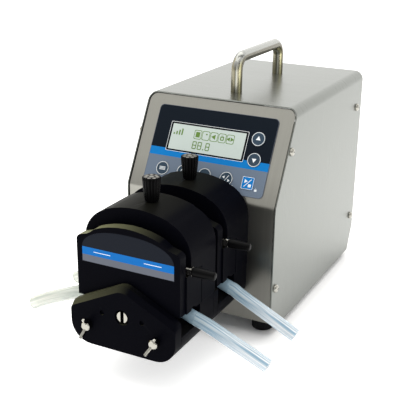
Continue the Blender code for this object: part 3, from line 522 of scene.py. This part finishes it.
FILM = film_material()
KEY_SLATE = node_material("key_print", SLATE, 0.35, tint=0.05, Specular_IOR_Level=0.08)
KEY_BLUE = node_material("start_print", BLUE, 0.35, tint=0.04, Specular_IOR_Level=0.08)
INK = node_material("white_ink", WHITE_INK, 0.5, tint=0.02)
LABEL_NAVY = label_print("label_navy", (0.0070, 0.0092, 0.0150))
LABEL_BAND = label_print("label_blue", (0.0056, 0.131, 0.430), 0.40)
LABEL_GREY = label_print("label_grey", (0.118, 0.130, 0.160))
BEZEL = node_material("display_bezel", (0.003, 0.003, 0.004), 0.25, Specular_IOR_Level=0.1)
LCD = node_material(
    "display_face",
    (0.43, 0.49, 0.46),
    0.30,
    tint=0.05,
    stretch=(20, 20, 20),
    bump=0.0,
    Emission_Color=(0.75, 0.85, 0.80, 1),
    Emission_Strength=0.08,
)
GLYPH = node_material("display_ink", (0.090, 0.190, 0.015), 0.4, tint=0.1)

TUBING = node_material(
    "silicone",
    (0.34, 0.48, 0.58),
    0.10,
    tint=0.03,
    rough_spread=0.06,
    bump_depth=0.0002,
    Transmission_Weight=0.35,
    IOR=1.41,
)
# Hoses with painted highlight streaks and painted shade near the heads
HOSE_RIGHT = add_painted_streaks(TUBING.copy(), (0.50, 0.63, 0.70), (0.34, 0.50, 0.62), (1.0, 1.0, 1.0))
HOSE_LEFT = add_painted_streaks(TUBING.copy(), (0.80, 0.84, 0.85), (0.62, 0.66, 0.60), (0.90, 0.91, 0.84))

BY_SLOT = {
    "brushed_stainless": STEEL,
    "polished_steel": CHROME,
    "zinc_sheet": ZINC,
    "motor_paint": MOTOR,
    "black_moulding": BLACK,
    "black_rubber": RUBBER,
    "panel_film": FILM,
    "key_slate": KEY_SLATE,
    "key_blue": KEY_BLUE,
    "window_lens": LCD,
    "circuit_board": BOARD,
    "roller_nylon": NYLON,
    "aluminium": ALUMINIUM,
    "silicone_tube": TUBING,
}


# ---------------------------------------------------------------- shape helpers

def new_object(name, builder, mat):
    bm = bmesh.new()
    builder(bm)
    bmesh.ops.recalc_face_normals(bm, faces=bm.faces)
    mesh = bpy.data.meshes.new(name)
    bm.to_mesh(mesh)
    bm.free()
    obj = bpy.data.objects.new(name, mesh)
    bpy.context.scene.collection.objects.link(obj)
    if mat:
        mesh.materials.append(mat)
    return obj


def loft(bm, rings, closed=True):
    """Joins rings of equal length into a skin, with flat ends if closed."""
    rows = [[bm.verts.new(point) for point in ring] for ring in rings]
    for near, far in zip(rows, rows[1:]):
        for i in range(len(near)):
            j = (i + 1) % len(near)
            bm.faces.new((near[i], near[j], far[j], far[i]))
    if closed:
        bm.faces.new(rows[0])
        bm.faces.new(rows[-1][::-1])


def smooth(obj, angle=35):
    obj.data.shade_smooth()
    obj.data.set_sharp_from_angle(angle=math.radians(angle))
    return obj


def bevel(obj, width, segments=3, angle=32):
    change = obj.modifiers.new("bevel", "BEVEL")
    change.width = width
    change.segments = segments
    change.limit_method = "ANGLE"
    change.angle_limit = math.radians(angle)
    change.harden_normals = True


def cut(obj, other, operation="DIFFERENCE"):
    """Takes the other object away from this one, or with INTERSECT keeps what they share."""
    other.hide_render = True
    other.hide_viewport = True
    change = obj.modifiers.new("cut", "BOOLEAN")
    change.operation = operation
    change.solver = "EXACT"
    change.object = other


def prism(name, axis, outline, a, b, mat):
    """An outline pushed along an axis: (x, z) along y, (y, z) along x, (x, y) along z."""
    def ring(t):
        if axis == "y":
            return [(x, t, z) for x, z in outline]
        if axis == "x":
            return [(t, y, z) for y, z in outline]
        return [(x, y, t) for x, y in outline]

    return new_object(name, lambda bm: loft(bm, [ring(a), ring(b)]), mat)


def arc(cx, cy, r, start, end, steps):
    angles = [math.radians(start + (end - start) * i / steps) for i in range(steps + 1)]
    return [(cx + r * math.cos(a), cy + r * math.sin(a)) for a in angles]


def circle(cx, cy, r, steps):
    return arc(cx, cy, r, 0, 360, steps)[:-1]


def turn_angles(steps):
    return [2 * math.pi * i / steps for i in range(steps)]


def tube_rings(path, across, r, steps):
    """Rings round a path that lies in a plane, where across is square to that plane."""
    rings = []
    for i, point in enumerate(path):
        along = (path[min(i + 1, len(path) - 1)] - path[max(i - 1, 0)]).normalized()
        up = along.cross(across)
        turns = [(r * math.cos(a), r * math.sin(a)) for a in turn_angles(steps)]
        rings.append([point + across * s + up * t for s, t in turns])
    return rings


def rectangle(x0, y0, x1, y1):
    return [(x0, y0), (x1, y0), (x1, y1), (x0, y1)]


def round_rect(x0, y0, x1, y1, r, steps):
    return (
        arc(x1 - r, y0 + r, r, -90, 0, steps)
        + arc(x1 - r, y1 - r, r, 0, 90, steps)
        + arc(x0 + r, y1 - r, r, 90, 180, steps)
        + arc(x0 + r, y0 + r, r, 180, 270, steps)
    )


def turned(name, centre, profile, steps, mat):
    """Discs of (distance along X, radius) joined up."""
    x, y, z = centre
    rings = [[(x + t, a, b) for a, b in circle(y, z, r, steps)] for t, r in profile]
    return smooth(new_object(name, lambda bm: loft(bm, rings), mat))


def on_slope(u, v, out):
    return Vector((u, DRIVE_Y, FOLD_Z)) + SLOPE_UP * v + SLOPE_OUT * out


def flat_on_slope(name, shapes, out0, out1, mat):
    """Thin flat shapes, each an outline of (across, up the slope)."""
    def build(bm):
        for outline in shapes:
            loft(bm, [[on_slope(u, v, out) for u, v in outline] for out in (out0, out1)])

    return new_object(name, build, mat)


def flat_on_face(name, shapes, y0, y1, mat):
    """Thin flat shapes on an upright face, each an outline of (x, z)."""
    def build(bm):
        for outline in shapes:
            loft(bm, [[(x, y, z) for x, z in outline] for y in (y0, y1)])

    return new_object(name, build, mat)


def middle_of(outline):
    count = len(outline)
    return sum(u for u, v in outline) / count, sum(v for u, v in outline) / count


def outline_band(outline, width):
    """The strip of this width just inside an outline, as quads."""
    cu, cv = middle_of(outline)
    share_u = 1 - width / max(abs(u - cu) for u, v in outline)
    share_v = 1 - width / max(abs(v - cv) for u, v in outline)
    inner = [(cu + (u - cu) * share_u, cv + (v - cv) * share_v) for u, v in outline]
    after = outline[1:] + outline[:1]
    inner_after = inner[1:] + inner[:1]
    return [list(quad) for quad in zip(outline, after, inner_after, inner)]


def stroke(u0, v0, u1, v1, width):
    """A straight line of this width, as an outline."""
    along = Vector((u1 - u0, v1 - v0)).normalized()
    su, sv = Vector((-along.y, along.x)) * width / 2
    return [(u0 - su, v0 - sv), (u1 - su, v1 - sv), (u1 + su, v1 + sv), (u0 + su, v0 + sv)]


def dress(obj, node):
    """obj takes the place of a CAD node, on its body."""
    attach(obj, nodes[node]["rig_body"])
    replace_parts(obj, node)


def add_on(obj, node):
    """obj is an extra piece beside a CAD node, on the same body."""
    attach(obj, nodes[node]["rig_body"])


def rework(node, mat=None, width=0.0004, segments=2):
    """The CAD node's own shape with its flat faces made whole and its edges rounded."""
    bm = bmesh.new()
    bm.from_mesh(nodes[node].data)
    bmesh.ops.remove_doubles(bm, verts=bm.verts, dist=0.00002)
    bmesh.ops.dissolve_limit(bm, angle_limit=math.radians(1), verts=bm.verts, edges=bm.edges)
    mesh = bpy.data.meshes.new(f"{node}_shape")
    bm.to_mesh(mesh)
    bm.free()
    obj = bpy.data.objects.new(f"{node}_shape", mesh)
    bpy.context.scene.collection.objects.link(obj)
    mesh.materials.append(mat or BY_SLOT[slots[node]])
    smooth(obj, 32)
    bevel(obj, width, segments)
    dress(obj, node)


# ---------------------------------------------------------------- tubing

def smooth_path(points, per_stretch):
    """Points read from a Catmull-Rom curve through the given ones."""
    ends = [points[0] * 2 - points[1]] + points + [points[-1] * 2 - points[-2]]
    path = []
    for a, b, c, d in zip(ends, ends[1:], ends[2:], ends[3:]):
        square = 2 * a - 5 * b + 4 * c - d
        cube = 3 * b - a - 3 * c + d
        for i in range(per_stretch):
            t = i / per_stretch
            path.append(0.5 * (2 * b + (c - a) * t + square * t * t + cube * t**3))
    return path + [points[-1]]


def tube_path(head, side, route):
    """Straight out of the head's mouth, then through the route's (outward, height) places."""
    mouth = Vector((TUBE_EXIT[0], 0, TUBE_EXIT[1]))
    along = Vector((1, 0, -TUBE_EXIT_SLOPE)).normalized()
    points = [mouth + along * 0.0003, mouth + along * 0.005]
    points += [Vector((x, 0, z)) for x, z in route]
    y = HEAD_FACES[head] + TUBE_Y
    return smooth_path([Vector((side * p.x, y, p.z)) for p in points], 6)


def add_tube_places(bm, reach):
    """Gives each corner its share of the tube's length and of its turn, for the painted highlight
    streaks.
    """
    bm.verts.index_update()
    layer = bm.loops.layers.uv.new("along")
    there_and_back = reach + reach[::-1]
    for face in bm.faces:
        for loop in face.loops:
            ring, step = divmod(loop.vert.index, TUBE_STEPS)
            turn = 1.0 - abs(2 * step / TUBE_STEPS - 1.0)
            loop[layer].uv = (there_and_back[ring], turn)


def make_free_tubes():
    """The four tube ends that stand out of the heads: silicone tube with an open bore, cut square."""
    for name, (head, side, route) in TUBE_ROUTES.items():
        path = tube_path(head, side, route)
        steps = [(b - a).length for a, b in zip(path, path[1:])]
        length = sum(steps)
        reach = [sum(steps[:i]) / length for i in range(len(path))]

        def build(bm):
            outer = tube_rings(path, Vector((0, 1, 0)), TUBE_R, TUBE_STEPS)
            inner = tube_rings(path, Vector((0, 1, 0)), TUBE_BORE_R, TUBE_STEPS)
            loft(bm, outer + inner[::-1], closed=False)
            bm.verts.ensure_lookup_table()
            first = bm.verts[:TUBE_STEPS]
            last = bm.verts[-TUBE_STEPS:]
            for i in range(TUBE_STEPS):
                j = (i + 1) % TUBE_STEPS
                bm.faces.new((last[i], last[j], first[j], first[i]))
            add_tube_places(bm, reach)

        tube = smooth(new_object(f"{name}_hose", build, HOSE_RIGHT if side > 0 else HOSE_LEFT), 50)
        dress(tube, name)


# ---------------------------------------------------------------- drive case

def corner_outline(half, top, r, low):
    """Up one side, round both top corners and down the other side."""
    right = [(half, low)] + arc(half - r, top - r, r, 0, 90, 12)
    return right + [(-x, z) for x, z in reversed(right)]


def make_wrap_cover():
    """The cover: one bent sheet over the top and both sides, cut to the case's side view."""
    y0, y1 = DRIVE_Y, DRIVE_Y + DEPTH
    half = WIDTH / 2
    outer = corner_outline(half, HEIGHT, CASE_CORNER_R, 0.0)
    inner = corner_outline(half - SHEET, HEIGHT - SHEET, CASE_CORNER_R - SHEET, 0.0)
    section = outer + inner[::-1]
    cover = prism("cover_sheet", "y", section, y0 - 0.01, y1 + 0.01, STEEL)
    side = [
        (y0 + FRONT_CORNER_DEPTH, SKIRT_Z),
        (y0, PANEL_BOTTOM_Z),
        (y0, FOLD_Z - 0.006),
        (y0 + 0.0007, FOLD_Z),
        (y0 + 0.0036, FOLD_Z + 0.006),
        (y0 + TOP_SETBACK, HEIGHT - 0.002),
        (y0 + TOP_SETBACK, HEIGHT + 0.01),
        (y1, HEIGHT + 0.01),
        (y1, CHAMFER_Z),
        (y1 - CHAMFER_DEPTH, SKIRT_Z),
    ]
    cut(cover, prism("cover_view", "x", side, -WIDTH, WIDTH, None), "INTERSECT")
    bevel(cover, 0.0003, 2, 40)
    smooth(cover, 30)
    dress(cover, "wrap_cover")


def make_front_panel():
    """The front sheet with its soft bend at the fold."""
    half = WIDTH / 2 - SHEET - PANEL_GAP
    top = HEIGHT - SHEET - PANEL_GAP

    def bend(out):
        fold = Vector((0, DRIVE_Y - out, FOLD_Z + out * math.tan(math.acos(SLOPE_UP.z) / 2)))
        reach = FOLD_BEND_R
        points = [(DRIVE_Y - out, PANEL_BOTTOM_Z)]
        a = fold - Vector((0, 0, reach))
        b = fold + SLOPE_UP * reach
        for i in range(7):
            t = i / 6
            p = a * (1 - t) ** 2 + fold * (2 * t * (1 - t)) + b * t * t
            points.append((p.y, p.z))
        high = on_slope(0, (top - FOLD_Z) / SLOPE_UP.z, out)
        return points + [(high.y, top)]

    sheet = bend(-PANEL_INSET) + bend(-PANEL_INSET - SHEET)[::-1]
    panel = prism("front_sheet", "x", sheet, -half, half, PANEL_STEEL)
    view = corner_outline(half, top, CASE_CORNER_R - SHEET - PANEL_GAP, 0.0)
    cut(panel, prism("front_view", "y", view, DRIVE_Y - 0.05, DRIVE_Y + 0.1, None), "INTERSECT")
    bevel(panel, 0.0003, 2, 40)
    smooth(panel, 30)
    dress(panel, "front_panel")


def make_handle():
    """One bar with two upright legs and a bend over each of them."""
    top = HANDLE_TOP_Z - HANDLE_R
    near, far, r = DRIVE_Y + HANDLE_NEAR, DRIVE_Y + HANDLE_FAR, HANDLE_BEND_R
    path = [(near, HEIGHT + 0.0001)] + arc(near + r, top - r, r, 180, 90, 14)
    path += arc(far - r, top - r, r, 90, 0, 14) + [(far, HEIGHT + 0.0001)]
    points = [Vector((0, y, z)) for y, z in path]
    rings = tube_rings(points, Vector((1, 0, 0)), HANDLE_R, 36)
    handle = smooth(new_object("handle_bar", lambda bm: loft(bm, rings), BAR), 60)
    dress(handle, "handle")


def make_side_screws():
    """Pan-head screws that hold the cover to the tray, four on each side."""
    for side, word in ((-1, "left"), (1, "right")):
        face = side * WIDTH / 2
        for i, (depth, z) in enumerate(SIDE_SCREWS, 1):
            y = DRIVE_Y + depth
            shape = [(side * (t + 0.00005), r) for t, r in SCREW_PROFILE]
            name = f"case_screw_{word}_{i}"
            screw = turned(name, (face, y, z), shape, 28, CHROME)
            x0, x1 = sorted((face + side * SCREW_CROSS_FLOOR, face + side * 0.005))
            for half_y, half_z in (SCREW_CROSS, SCREW_CROSS[::-1]):
                bar = rectangle(y - half_y, z - half_z, y + half_y, z + half_z)
                cut(screw, prism(f"{name}_cross", "x", bar, x0, x1, None))
            add_on(screw, "wrap_cover")


# ---------------------------------------------------------------- keypad and display

def key_outlines():
    outlines = {name: circle(u, v, KEY_R, 40) for name, (u, v) in ROUND_KEYS.items()}
    u, v, half = START_KEY
    outlines["key_start_stop"] = round_rect(u - half, v - half, u + half, v + half, 0.0010, 4)
    return outlines


def grown(outline, by):
    cu, cv = middle_of(outline)
    scale = 1 + by / max(math.hypot(u - cu, v - cv) for u, v in outline)
    return [(cu + (u - cu) * scale, cv + (v - cv) * scale) for u, v in outline]


def triangle(u, v, size, turn):
    """A solid arrowhead that points turn degrees round from straight up."""
    angles = [math.radians(a + turn) for a in (90, 210, 330)]
    return [(u + size * math.cos(a), v + size * math.sin(a)) for a in angles]


def padlock(u, v):
    """A small lock: a square body and a hoop of six short stretches."""
    shapes = [round_rect(u - 0.0014, v - 0.0016, u + 0.0014, v + 0.0004, 0.0002, 1)]
    hoop = arc(u, v + 0.0006, 0.0010, 0, 180, 6)
    inner = arc(u, v + 0.0006, 0.0006, 0, 180, 6)
    for i in range(6):
        shapes.append([hoop[i], hoop[i + 1], inner[i + 1], inner[i]])
    return shapes


def key_marks():
    """White marks on each key: plain arrows, bars and squares."""
    marks = {}
    u, v = ROUND_KEYS["key_up"]
    marks["key_up"] = [triangle(u, v + 0.0002, 0.0030, 0)]
    u, v = ROUND_KEYS["key_down"]
    marks["key_down"] = [triangle(u, v - 0.0002, 0.0030, 180)]
    u, v = ROUND_KEYS["key_menu"]
    lines = [v - 0.0014, v, v + 0.0014]
    marks["key_menu"] = [stroke(u - 0.0036, line, u + 0.0036, line, 0.0007) for line in lines]
    u, v = ROUND_KEYS["key_mode"]
    marks["key_mode"] = outline_band(circle(u, v, 0.0030, 24), 0.0007)
    u, v = ROUND_KEYS["key_prime"]
    marks["key_prime"] = [triangle(u + step, v, 0.0024, -90) for step in (-0.0022, 0.0022)]
    u, v = ROUND_KEYS["key_direction"]
    marks["key_direction"] = [
        stroke(u - 0.0026, v - 0.0040, u + 0.0026, v + 0.0040, 0.0006),
        triangle(u - 0.0030, v + 0.0016, 0.0019, 90),
        triangle(u + 0.0030, v - 0.0016, 0.0019, -90),
    ]
    u, v, half = START_KEY
    marks["key_start_stop"] = [
        stroke(u - 0.0036, v - 0.0042, u + 0.0036, v + 0.0042, 0.0007),
        triangle(u - 0.0026, v + 0.0018, 0.0025, -90),
        round_rect(u + 0.0010, v - 0.0042, u + 0.0044, v - 0.0010, 0.0004, 2),
    ]
    return marks


def make_film(edge, outlines):
    """The printed film with a hole for each key."""
    film = flat_on_slope("film_sheet", [edge], -PANEL_INSET + 0.0001, FILM_FACE, FILM)
    for name, shape in outlines.items():
        hole = [grown(shape, KEY_CLEARANCE)]
        cut(film, flat_on_slope(f"{name}_hole", hole, FILM_BACK - 0.002, FILM_BACK + 0.002, None))
    bevel(film, 0.00015, 2, 40)
    dress(film, "keypad_film")


def make_key(name, shape, marks):
    """A key's cap with its white ring and its mark."""
    blue = name == "key_start_stop"
    colour = KEY_BLUE if blue else KEY_SLATE
    key = flat_on_slope(f"{name}_cap", [shape], FILM_BACK + 0.00065, KEY_FACE, colour)
    bevel(key, 0.0003, 3, 40)
    smooth(key, 40)
    dress(key, name)
    ring = outline_band(grown(shape, -0.0002), 0.00045 if blue else 0.00055)
    ink = flat_on_slope(f"{name}_ink", ring + marks, KEY_FACE, KEY_FACE + 0.00006, INK)
    add_on(ink, name)


def make_keypad():
    """The film, its seven keys, two printed locks and a pale rim."""
    low, high = FILM_SPAN
    edge = round_rect(-FILM_HALF_WIDTH, low, FILM_HALF_WIDTH, high, 0.0050, 8)
    outlines = key_outlines()
    make_film(edge, outlines)
    marks = key_marks()
    for name, shape in outlines.items():
        make_key(name, shape, marks[name])
    locks = padlock(0.0355, 0.0160) + padlock(0.0627, 0.0168)
    add_on(flat_on_slope("film_ink", locks, FILM_FACE, FILM_FACE + 0.00005, INK), "keypad_film")
    rim = outline_band(edge, 0.0004)
    low_face, high_face = FILM_FACE - 0.0002, FILM_FACE + 0.00003
    add_on(flat_on_slope("film_rim", rim, low_face, high_face, LABEL_GREY), "keypad_film")


def figure(u, v, w, h, thick):
    """A seven-stroke figure with all its strokes lit and its lower left corner at (u, v)."""
    m = h / 2
    across = [(u, v + t, u + w, v + t) for t in (0, m, h)]
    upright = [(x, v + t, x, v + t + m) for x in (u, u + w) for t in (0, m)]
    return [stroke(*line, thick) for line in across + upright]


def icon_boxes(u0, v):
    """Five rounded boxes in a row, each with its own plain shape."""
    places = [u0 + ICON_PITCH * i for i in range(5)]
    shapes = []
    for u in places:
        box = round_rect(u - 0.0046, v - 0.0052, u + 0.0046, v + 0.0052, 0.0018, 3)
        shapes += outline_band(box, 0.00065)
    block, dot, arrow, case, pair = places
    shapes.append(round_rect(block - 0.0025, v - 0.0030, block + 0.0025, v + 0.0030, 0.0003, 1))
    shapes.append(round_rect(dot - 0.0002, v + 0.0008, dot + 0.0016, v + 0.0024, 0.0003, 1))
    shapes.append(triangle(arrow, v, 0.0033, 90))
    body = round_rect(case - 0.0022, v - 0.0026, case + 0.0022, v + 0.0018, 0.0004, 2)
    shapes += outline_band(body, 0.0011)
    shapes.append(stroke(case - 0.0012, v + 0.0026, case + 0.0012, v + 0.0026, 0.0006))
    shapes += [triangle(pair + 0.0018 * side, v, 0.0027, -90 * side) for side in (-1, 1)]
    return shapes


def rising_bars(u0, v):
    """Four upright bars, each taller than the one before."""
    places = [(u0 + 0.0032 * i, v + 0.0020 + 0.0018 * i) for i in range(4)]
    return [stroke(u, v, u, top, 0.0017) for u, top in places]


def figures(u, v):
    """Three figures with a point before the last."""
    shapes = []
    for step in (0, 0.0064, 0.0160):
        shapes += figure(u + step, v, 0.0040, 0.0078, 0.0010)
    shapes.append(round_rect(u + 0.0126, v - 0.0004, u + 0.0140, v + 0.0010, 0.0002, 1))
    return shapes


def make_display():
    """The display behind its window: black border, pale screen, and what the screen shows."""
    u0, u1 = WINDOW_U
    v0, v1 = WINDOW_V
    window = round_rect(u0, v0, u1, v1, 0.0008, 2)
    border = flat_on_slope("display_border", [window], -PANEL_INSET + 0.0002, FILM_FACE + 0.0001, BEZEL)
    dress(border, "display_lens")
    g = 0.0006
    frame_line = outline_band(round_rect(u0 - g, v0 - g, u1 + g, v1 + g, 0.0012, 3), 0.00035)
    line = flat_on_slope("display_line", frame_line, FILM_FACE, FILM_FACE + 0.00015, INK)
    add_on(line, "keypad_film")
    du, dv = SCREEN_MARGIN
    screen = round_rect(u0 + du, v0 + dv, u1 - du, v1 - dv, 0.0002, 1)
    face = flat_on_slope("display_screen", [screen], FILM_FACE + 0.0001, SCREEN_FACE, LCD)
    add_on(face, "display_lens")
    shapes = icon_boxes(u0 + 0.0345, v0 + 0.0215)
    shapes += rising_bars(u0 + 0.0055, v0 + 0.0185)
    shapes += figures(u0 + 0.0310, v0 + 0.0055)
    glyphs = flat_on_slope("display_glyphs", shapes, SCREEN_FACE, SCREEN_FACE + 0.00004, GLYPH)
    add_on(glyphs, "display_lens")


# ---------------------------------------------------------------- pump heads

def label_arch():
    """Half an oval with full shoulders, which stands on the label's blue band."""
    outline = []
    for x, z in arc(0, 0, 1, 0, 180, 32):
        across = math.copysign(abs(x) ** LABEL_SHOULDER, x)
        outline.append((LABEL_HALF_WIDTH * across, LABEL_BAND_TOP_Z + LABEL_ARCH_HEIGHT * z))
    return outline


def make_label(n, face):
    """Plate label: navy arch over a blue band with a plain dash at each end, and a grey band."""
    half = LABEL_HALF_WIDTH
    y0, y1 = face - 0.0001, face + 0.0001
    parts = (
        ("arch", [label_arch()], LABEL_NAVY),
        ("band", [rectangle(-half, LABEL_BAND_LOW_Z, half, LABEL_BAND_TOP_Z)], LABEL_BAND),
        ("foot", [rectangle(-half, LABEL_LOW_Z, half, LABEL_BAND_LOW_Z)], LABEL_GREY),
    )
    node = f"head_{n}_front_frame"
    for name, shapes, mat in parts:
        add_on(flat_on_face(f"head_{n}_label_{name}", shapes, y0, y1, mat), node)
    dashes = [stroke(s * 0.0185, 0.1334, s * 0.0375, 0.1334, 0.0006) for s in (-1, 1)]
    add_on(flat_on_face(f"head_{n}_label_dashes", dashes, y0 - 0.00003, y0, INK), node)


def make_knob(n, face):
    """Fluted knob with a dished, patterned top whose lobes carry a painted highlight."""
    cy = face + KNOB_DEPTH

    def ring(z, r, depth):
        points = []
        for a in turn_angles(KNOB_FLUTES * 8):
            wave = 0.5 - 0.5 * math.cos(a * KNOB_FLUTES)
            reach = r - depth * wave**2
            points.append((KNOB_X + reach * math.cos(a), cy + reach * math.sin(a), z))
        return points

    top = KNOB_TOP_Z
    rings = [
        ring(KNOB_BASE_Z - 0.015, 0.0038, 0),
        ring(KNOB_BASE_Z + 0.0001, 0.0038, 0),
        ring(KNOB_BASE_Z + 0.0002, 0.0066, 0.0004),
        ring(KNOB_BASE_Z + 0.0012, 0.0070, 0.0008),
        ring(KNOB_BASE_Z + 0.0080, 0.0079, 0.0011),
        ring(top - 0.0090, 0.0087, 0.0012),
        ring(top - 0.0040, 0.0091, 0.0012),
        ring(top - 0.0010, 0.0093, 0.0012),
        ring(top - 0.0003, 0.0089, 0.0010),
        ring(top - 0.0001, 0.0085, 0.0009),
    ]
    knob = smooth(new_object(f"head_{n}_knob_body", lambda bm: loft(bm, rings), BLACK_SMOOTH), 50)
    dress(knob, f"head_{n}_knob")

    def disc(bm, x, y, r, steps):
        levels = ((top - 0.0006, r + 0.0002), (top - 0.00005, r))
        loft(bm, [[(px, py, z) for px, py in circle(x, y, reach, steps)] for z, reach in levels])

    def face_build(bm):
        for a in turn_angles(7):
            x = KNOB_X + 0.0056 * math.cos(a + 0.3)
            disc(bm, x, cy + 0.0056 * math.sin(a + 0.3), 0.0017, 14)
        disc(bm, KNOB_X, cy, 0.0024, 20)

    lobes = new_object(f"head_{n}_knob_lobes", face_build, KNOB_LOBE_HIGHLIGHT)
    add_on(smooth(lobes, 40), f"head_{n}_knob")


def make_heads():
    for n, face in enumerate(HEAD_FACES, 1):
        rework(f"head_{n}_base", width=0.0006)
        rework(f"head_{n}_front_frame", BLACK_PLATE, width=0.0011, segments=3)
        rework(f"head_{n}_pressure_block", width=0.0005)
        rework(f"head_{n}_lever")
        rework(f"head_{n}_grip", BLACK_SMOOTH)
        make_label(n, face)
        make_knob(n, face)
    rework("head_cover", BLACK_COVER)
    rework("head_spacer")
    rework("wing_screw_left", width=0.0003)
    rework("wing_screw_right", width=0.0003)
    make_shaft_end()


def make_shaft_end():
    """The shaft with a dark sheet as painted shade on the floor of the slot in its front end."""
    rework("drive_shaft", width=0.0002)
    slot_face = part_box("drive_shaft")[0][1] + 0.0006
    half, reach = SHAFT_SLOT / 2 - 0.00005, SHAFT_END_R - 0.0002
    floor = rectangle(-half, SHAFT_Z - reach, half, SHAFT_Z + reach)
    dark = flat_on_face("slot_shade_sheet", [floor], slot_face, slot_face + 0.0006, SLOT_SHADE)
    add_on(dark, "drive_shaft")


# ---------------------------------------------------------------- small parts

def make_socket_pins():
    """Black insert with three rows of contacts in the signal socket."""
    low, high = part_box("signal_socket")
    middle_x, middle_z = (low[0] + high[0]) / 2, (low[2] + high[2]) / 2
    face = high[1]
    insert = [
        (middle_x - 0.0105, middle_z - 0.0044),
        (middle_x + 0.0105, middle_z - 0.0044),
        (middle_x + 0.0120, middle_z + 0.0044),
        (middle_x - 0.0120, middle_z + 0.0044),
    ]
    block = flat_on_face("socket_insert", [insert], face - 0.0004, face + 0.00005, BLACK_SMOOTH)
    add_on(block, "signal_socket")
    dots = []
    for row in range(3):
        for i in range(5):
            x = middle_x + 0.0037 * (i - 2) + 0.0009 * (row - 1)
            dots.append(circle(x, middle_z + 0.0026 * (row - 1), 0.0006, 8))
    add_on(flat_on_face("socket_pins", dots, face, face + 0.0001, CHROME), "signal_socket")


def make_small_parts():
    """Feet and the back's fittings. The parts inside keep their CAD shapes and get a material."""
    for i in range(1, 5):
        rework(f"foot_{i}", width=0.0003)
    for name in ("power_inlet", "power_switch", "signal_socket", "rear_panel"):
        rework(name, width=0.0003)
    make_socket_pins()
    done = {name for obj in bpy.data.objects for name in obj.get("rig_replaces", [])}
    for name, obj in nodes.items():
        if name not in done:
            obj.data.materials.clear()
            obj.data.materials.append(BY_SLOT[slots[name]])


# ---------------------------------------------------------------- stage and light


def flat_sheet(name, width, depth, mat):
    """One upward face round the origin, of this width and depth."""
    corners = rectangle(-width / 2, -depth / 2, width / 2, depth / 2)
    return new_object(name, lambda bm: bm.faces.new([bm.verts.new((x, y, 0)) for x, y in corners]), mat)


def make_stage():
    """A wide white floor."""
    floor_mat = node_material(
        "floor_white",
        (0.92, 0.92, 0.92),
        0.6,
        tint=0.004,
        bump=0.0,
        stretch=(3, 3, 3),
        Specular_IOR_Level=0.1,
        Emission_Color=(1, 1, 1, 1),
    )
    add_glow(floor_mat, 0.50)
    flat_sheet("floor", 18.0, 18.0, floor_mat)


def aim(obj, at, target):
    obj.location = at
    obj.rotation_euler = (Vector(target) - Vector(at)).to_track_quat("-Z", "Y").to_euler()


def reflection_card(name, at, target, size, colour, strength):
    """A card that only shiny surfaces see."""
    glow = {"Emission_Color": (*colour, 1), "Emission_Strength": strength}
    card = flat_sheet(name, *size, node_material(name, (0, 0, 0), 1.0, **glow))
    aim(card, at, target)
    card.visible_camera = False
    card.visible_diffuse = False
    card.visible_shadow = False
    card.visible_transmission = False


def area_light(name, at, target, size, power, colour):
    data = bpy.data.lights.new(name, "AREA")
    data.shape = "RECTANGLE"
    data.size, data.size_y = size
    data.energy = power
    data.color = colour
    light = bpy.data.objects.new(name, data)
    aim(light, at, target)
    bpy.context.scene.collection.objects.link(light)


def make_world():
    """An even white room, brighter behind the pump, that the camera sees as plain white."""
    world = bpy.data.worlds.new("studio")
    bpy.context.scene.world = world
    world.use_nodes = True
    tree = world.node_tree
    sky = tree.nodes["Background"]
    sky.inputs["Color"].default_value = (1.0, 0.995, 0.98, 1)
    direction = new_node(tree, "TexCoord").outputs["Generated"]
    seen = new_node(tree, "Mix")
    seen.inputs["B"].default_value = 1.3
    tree.links.new(new_node(tree, "LightPath").outputs["Is Camera Ray"], seen.inputs["Factor"])
    tree.links.new(ranged(tree, part(tree, direction, "Y"), -1.0, 1.0, 0.75, 1.65), seen.inputs["A"])
    tree.links.new(seen.outputs["Result"], sky.inputs["Strength"])


def make_light():
    """A softbox overhead, and cards for the steel and the handle to mirror."""
    make_world()
    area_light("top_softbox", (-0.3, 0.1, 1.9), (0, 0, 0.1), (2.4, 2.4), 26, (1.0, 0.99, 0.96))
    black, dark, warm = (0.01, 0.01, 0.01), (0.02, 0.02, 0.02), (1.0, 0.80, 0.35)
    low, high = (0, 0, 0.2), (0, 0, 0.25)
    reflection_card("dark_card_right", (1.0, -0.5, 0.55), low, (0.35, 1.2), black, 1.0)
    reflection_card("dark_card_top", (0.25, 0.15, 1.3), low, (0.30, 1.6), black, 1.0)
    reflection_card("warm_card", (-0.9, -0.1, 0.6), low, (0.25, 1.0), warm, 1.2)
    reflection_card("dark_card_left", (-0.80, 0.45, 0.50), high, (0.12, 1.2), dark, 1.0)
    reflection_card("dark_card_back", (0.80, 0.65, 0.50), high, (0.12, 1.2), dark, 1.0)
    view = bpy.context.scene.view_settings
    view.view_transform = "Standard"
    view.look = "None"


def main():
    make_free_tubes()
    make_wrap_cover()
    make_front_panel()
    make_handle()
    make_side_screws()
    make_keypad()
    make_display()
    make_heads()
    make_small_parts()
    make_stage()
    make_light()


def plain(bounds):
    return [[float(value) for value in corner] for corner in bounds]


main()
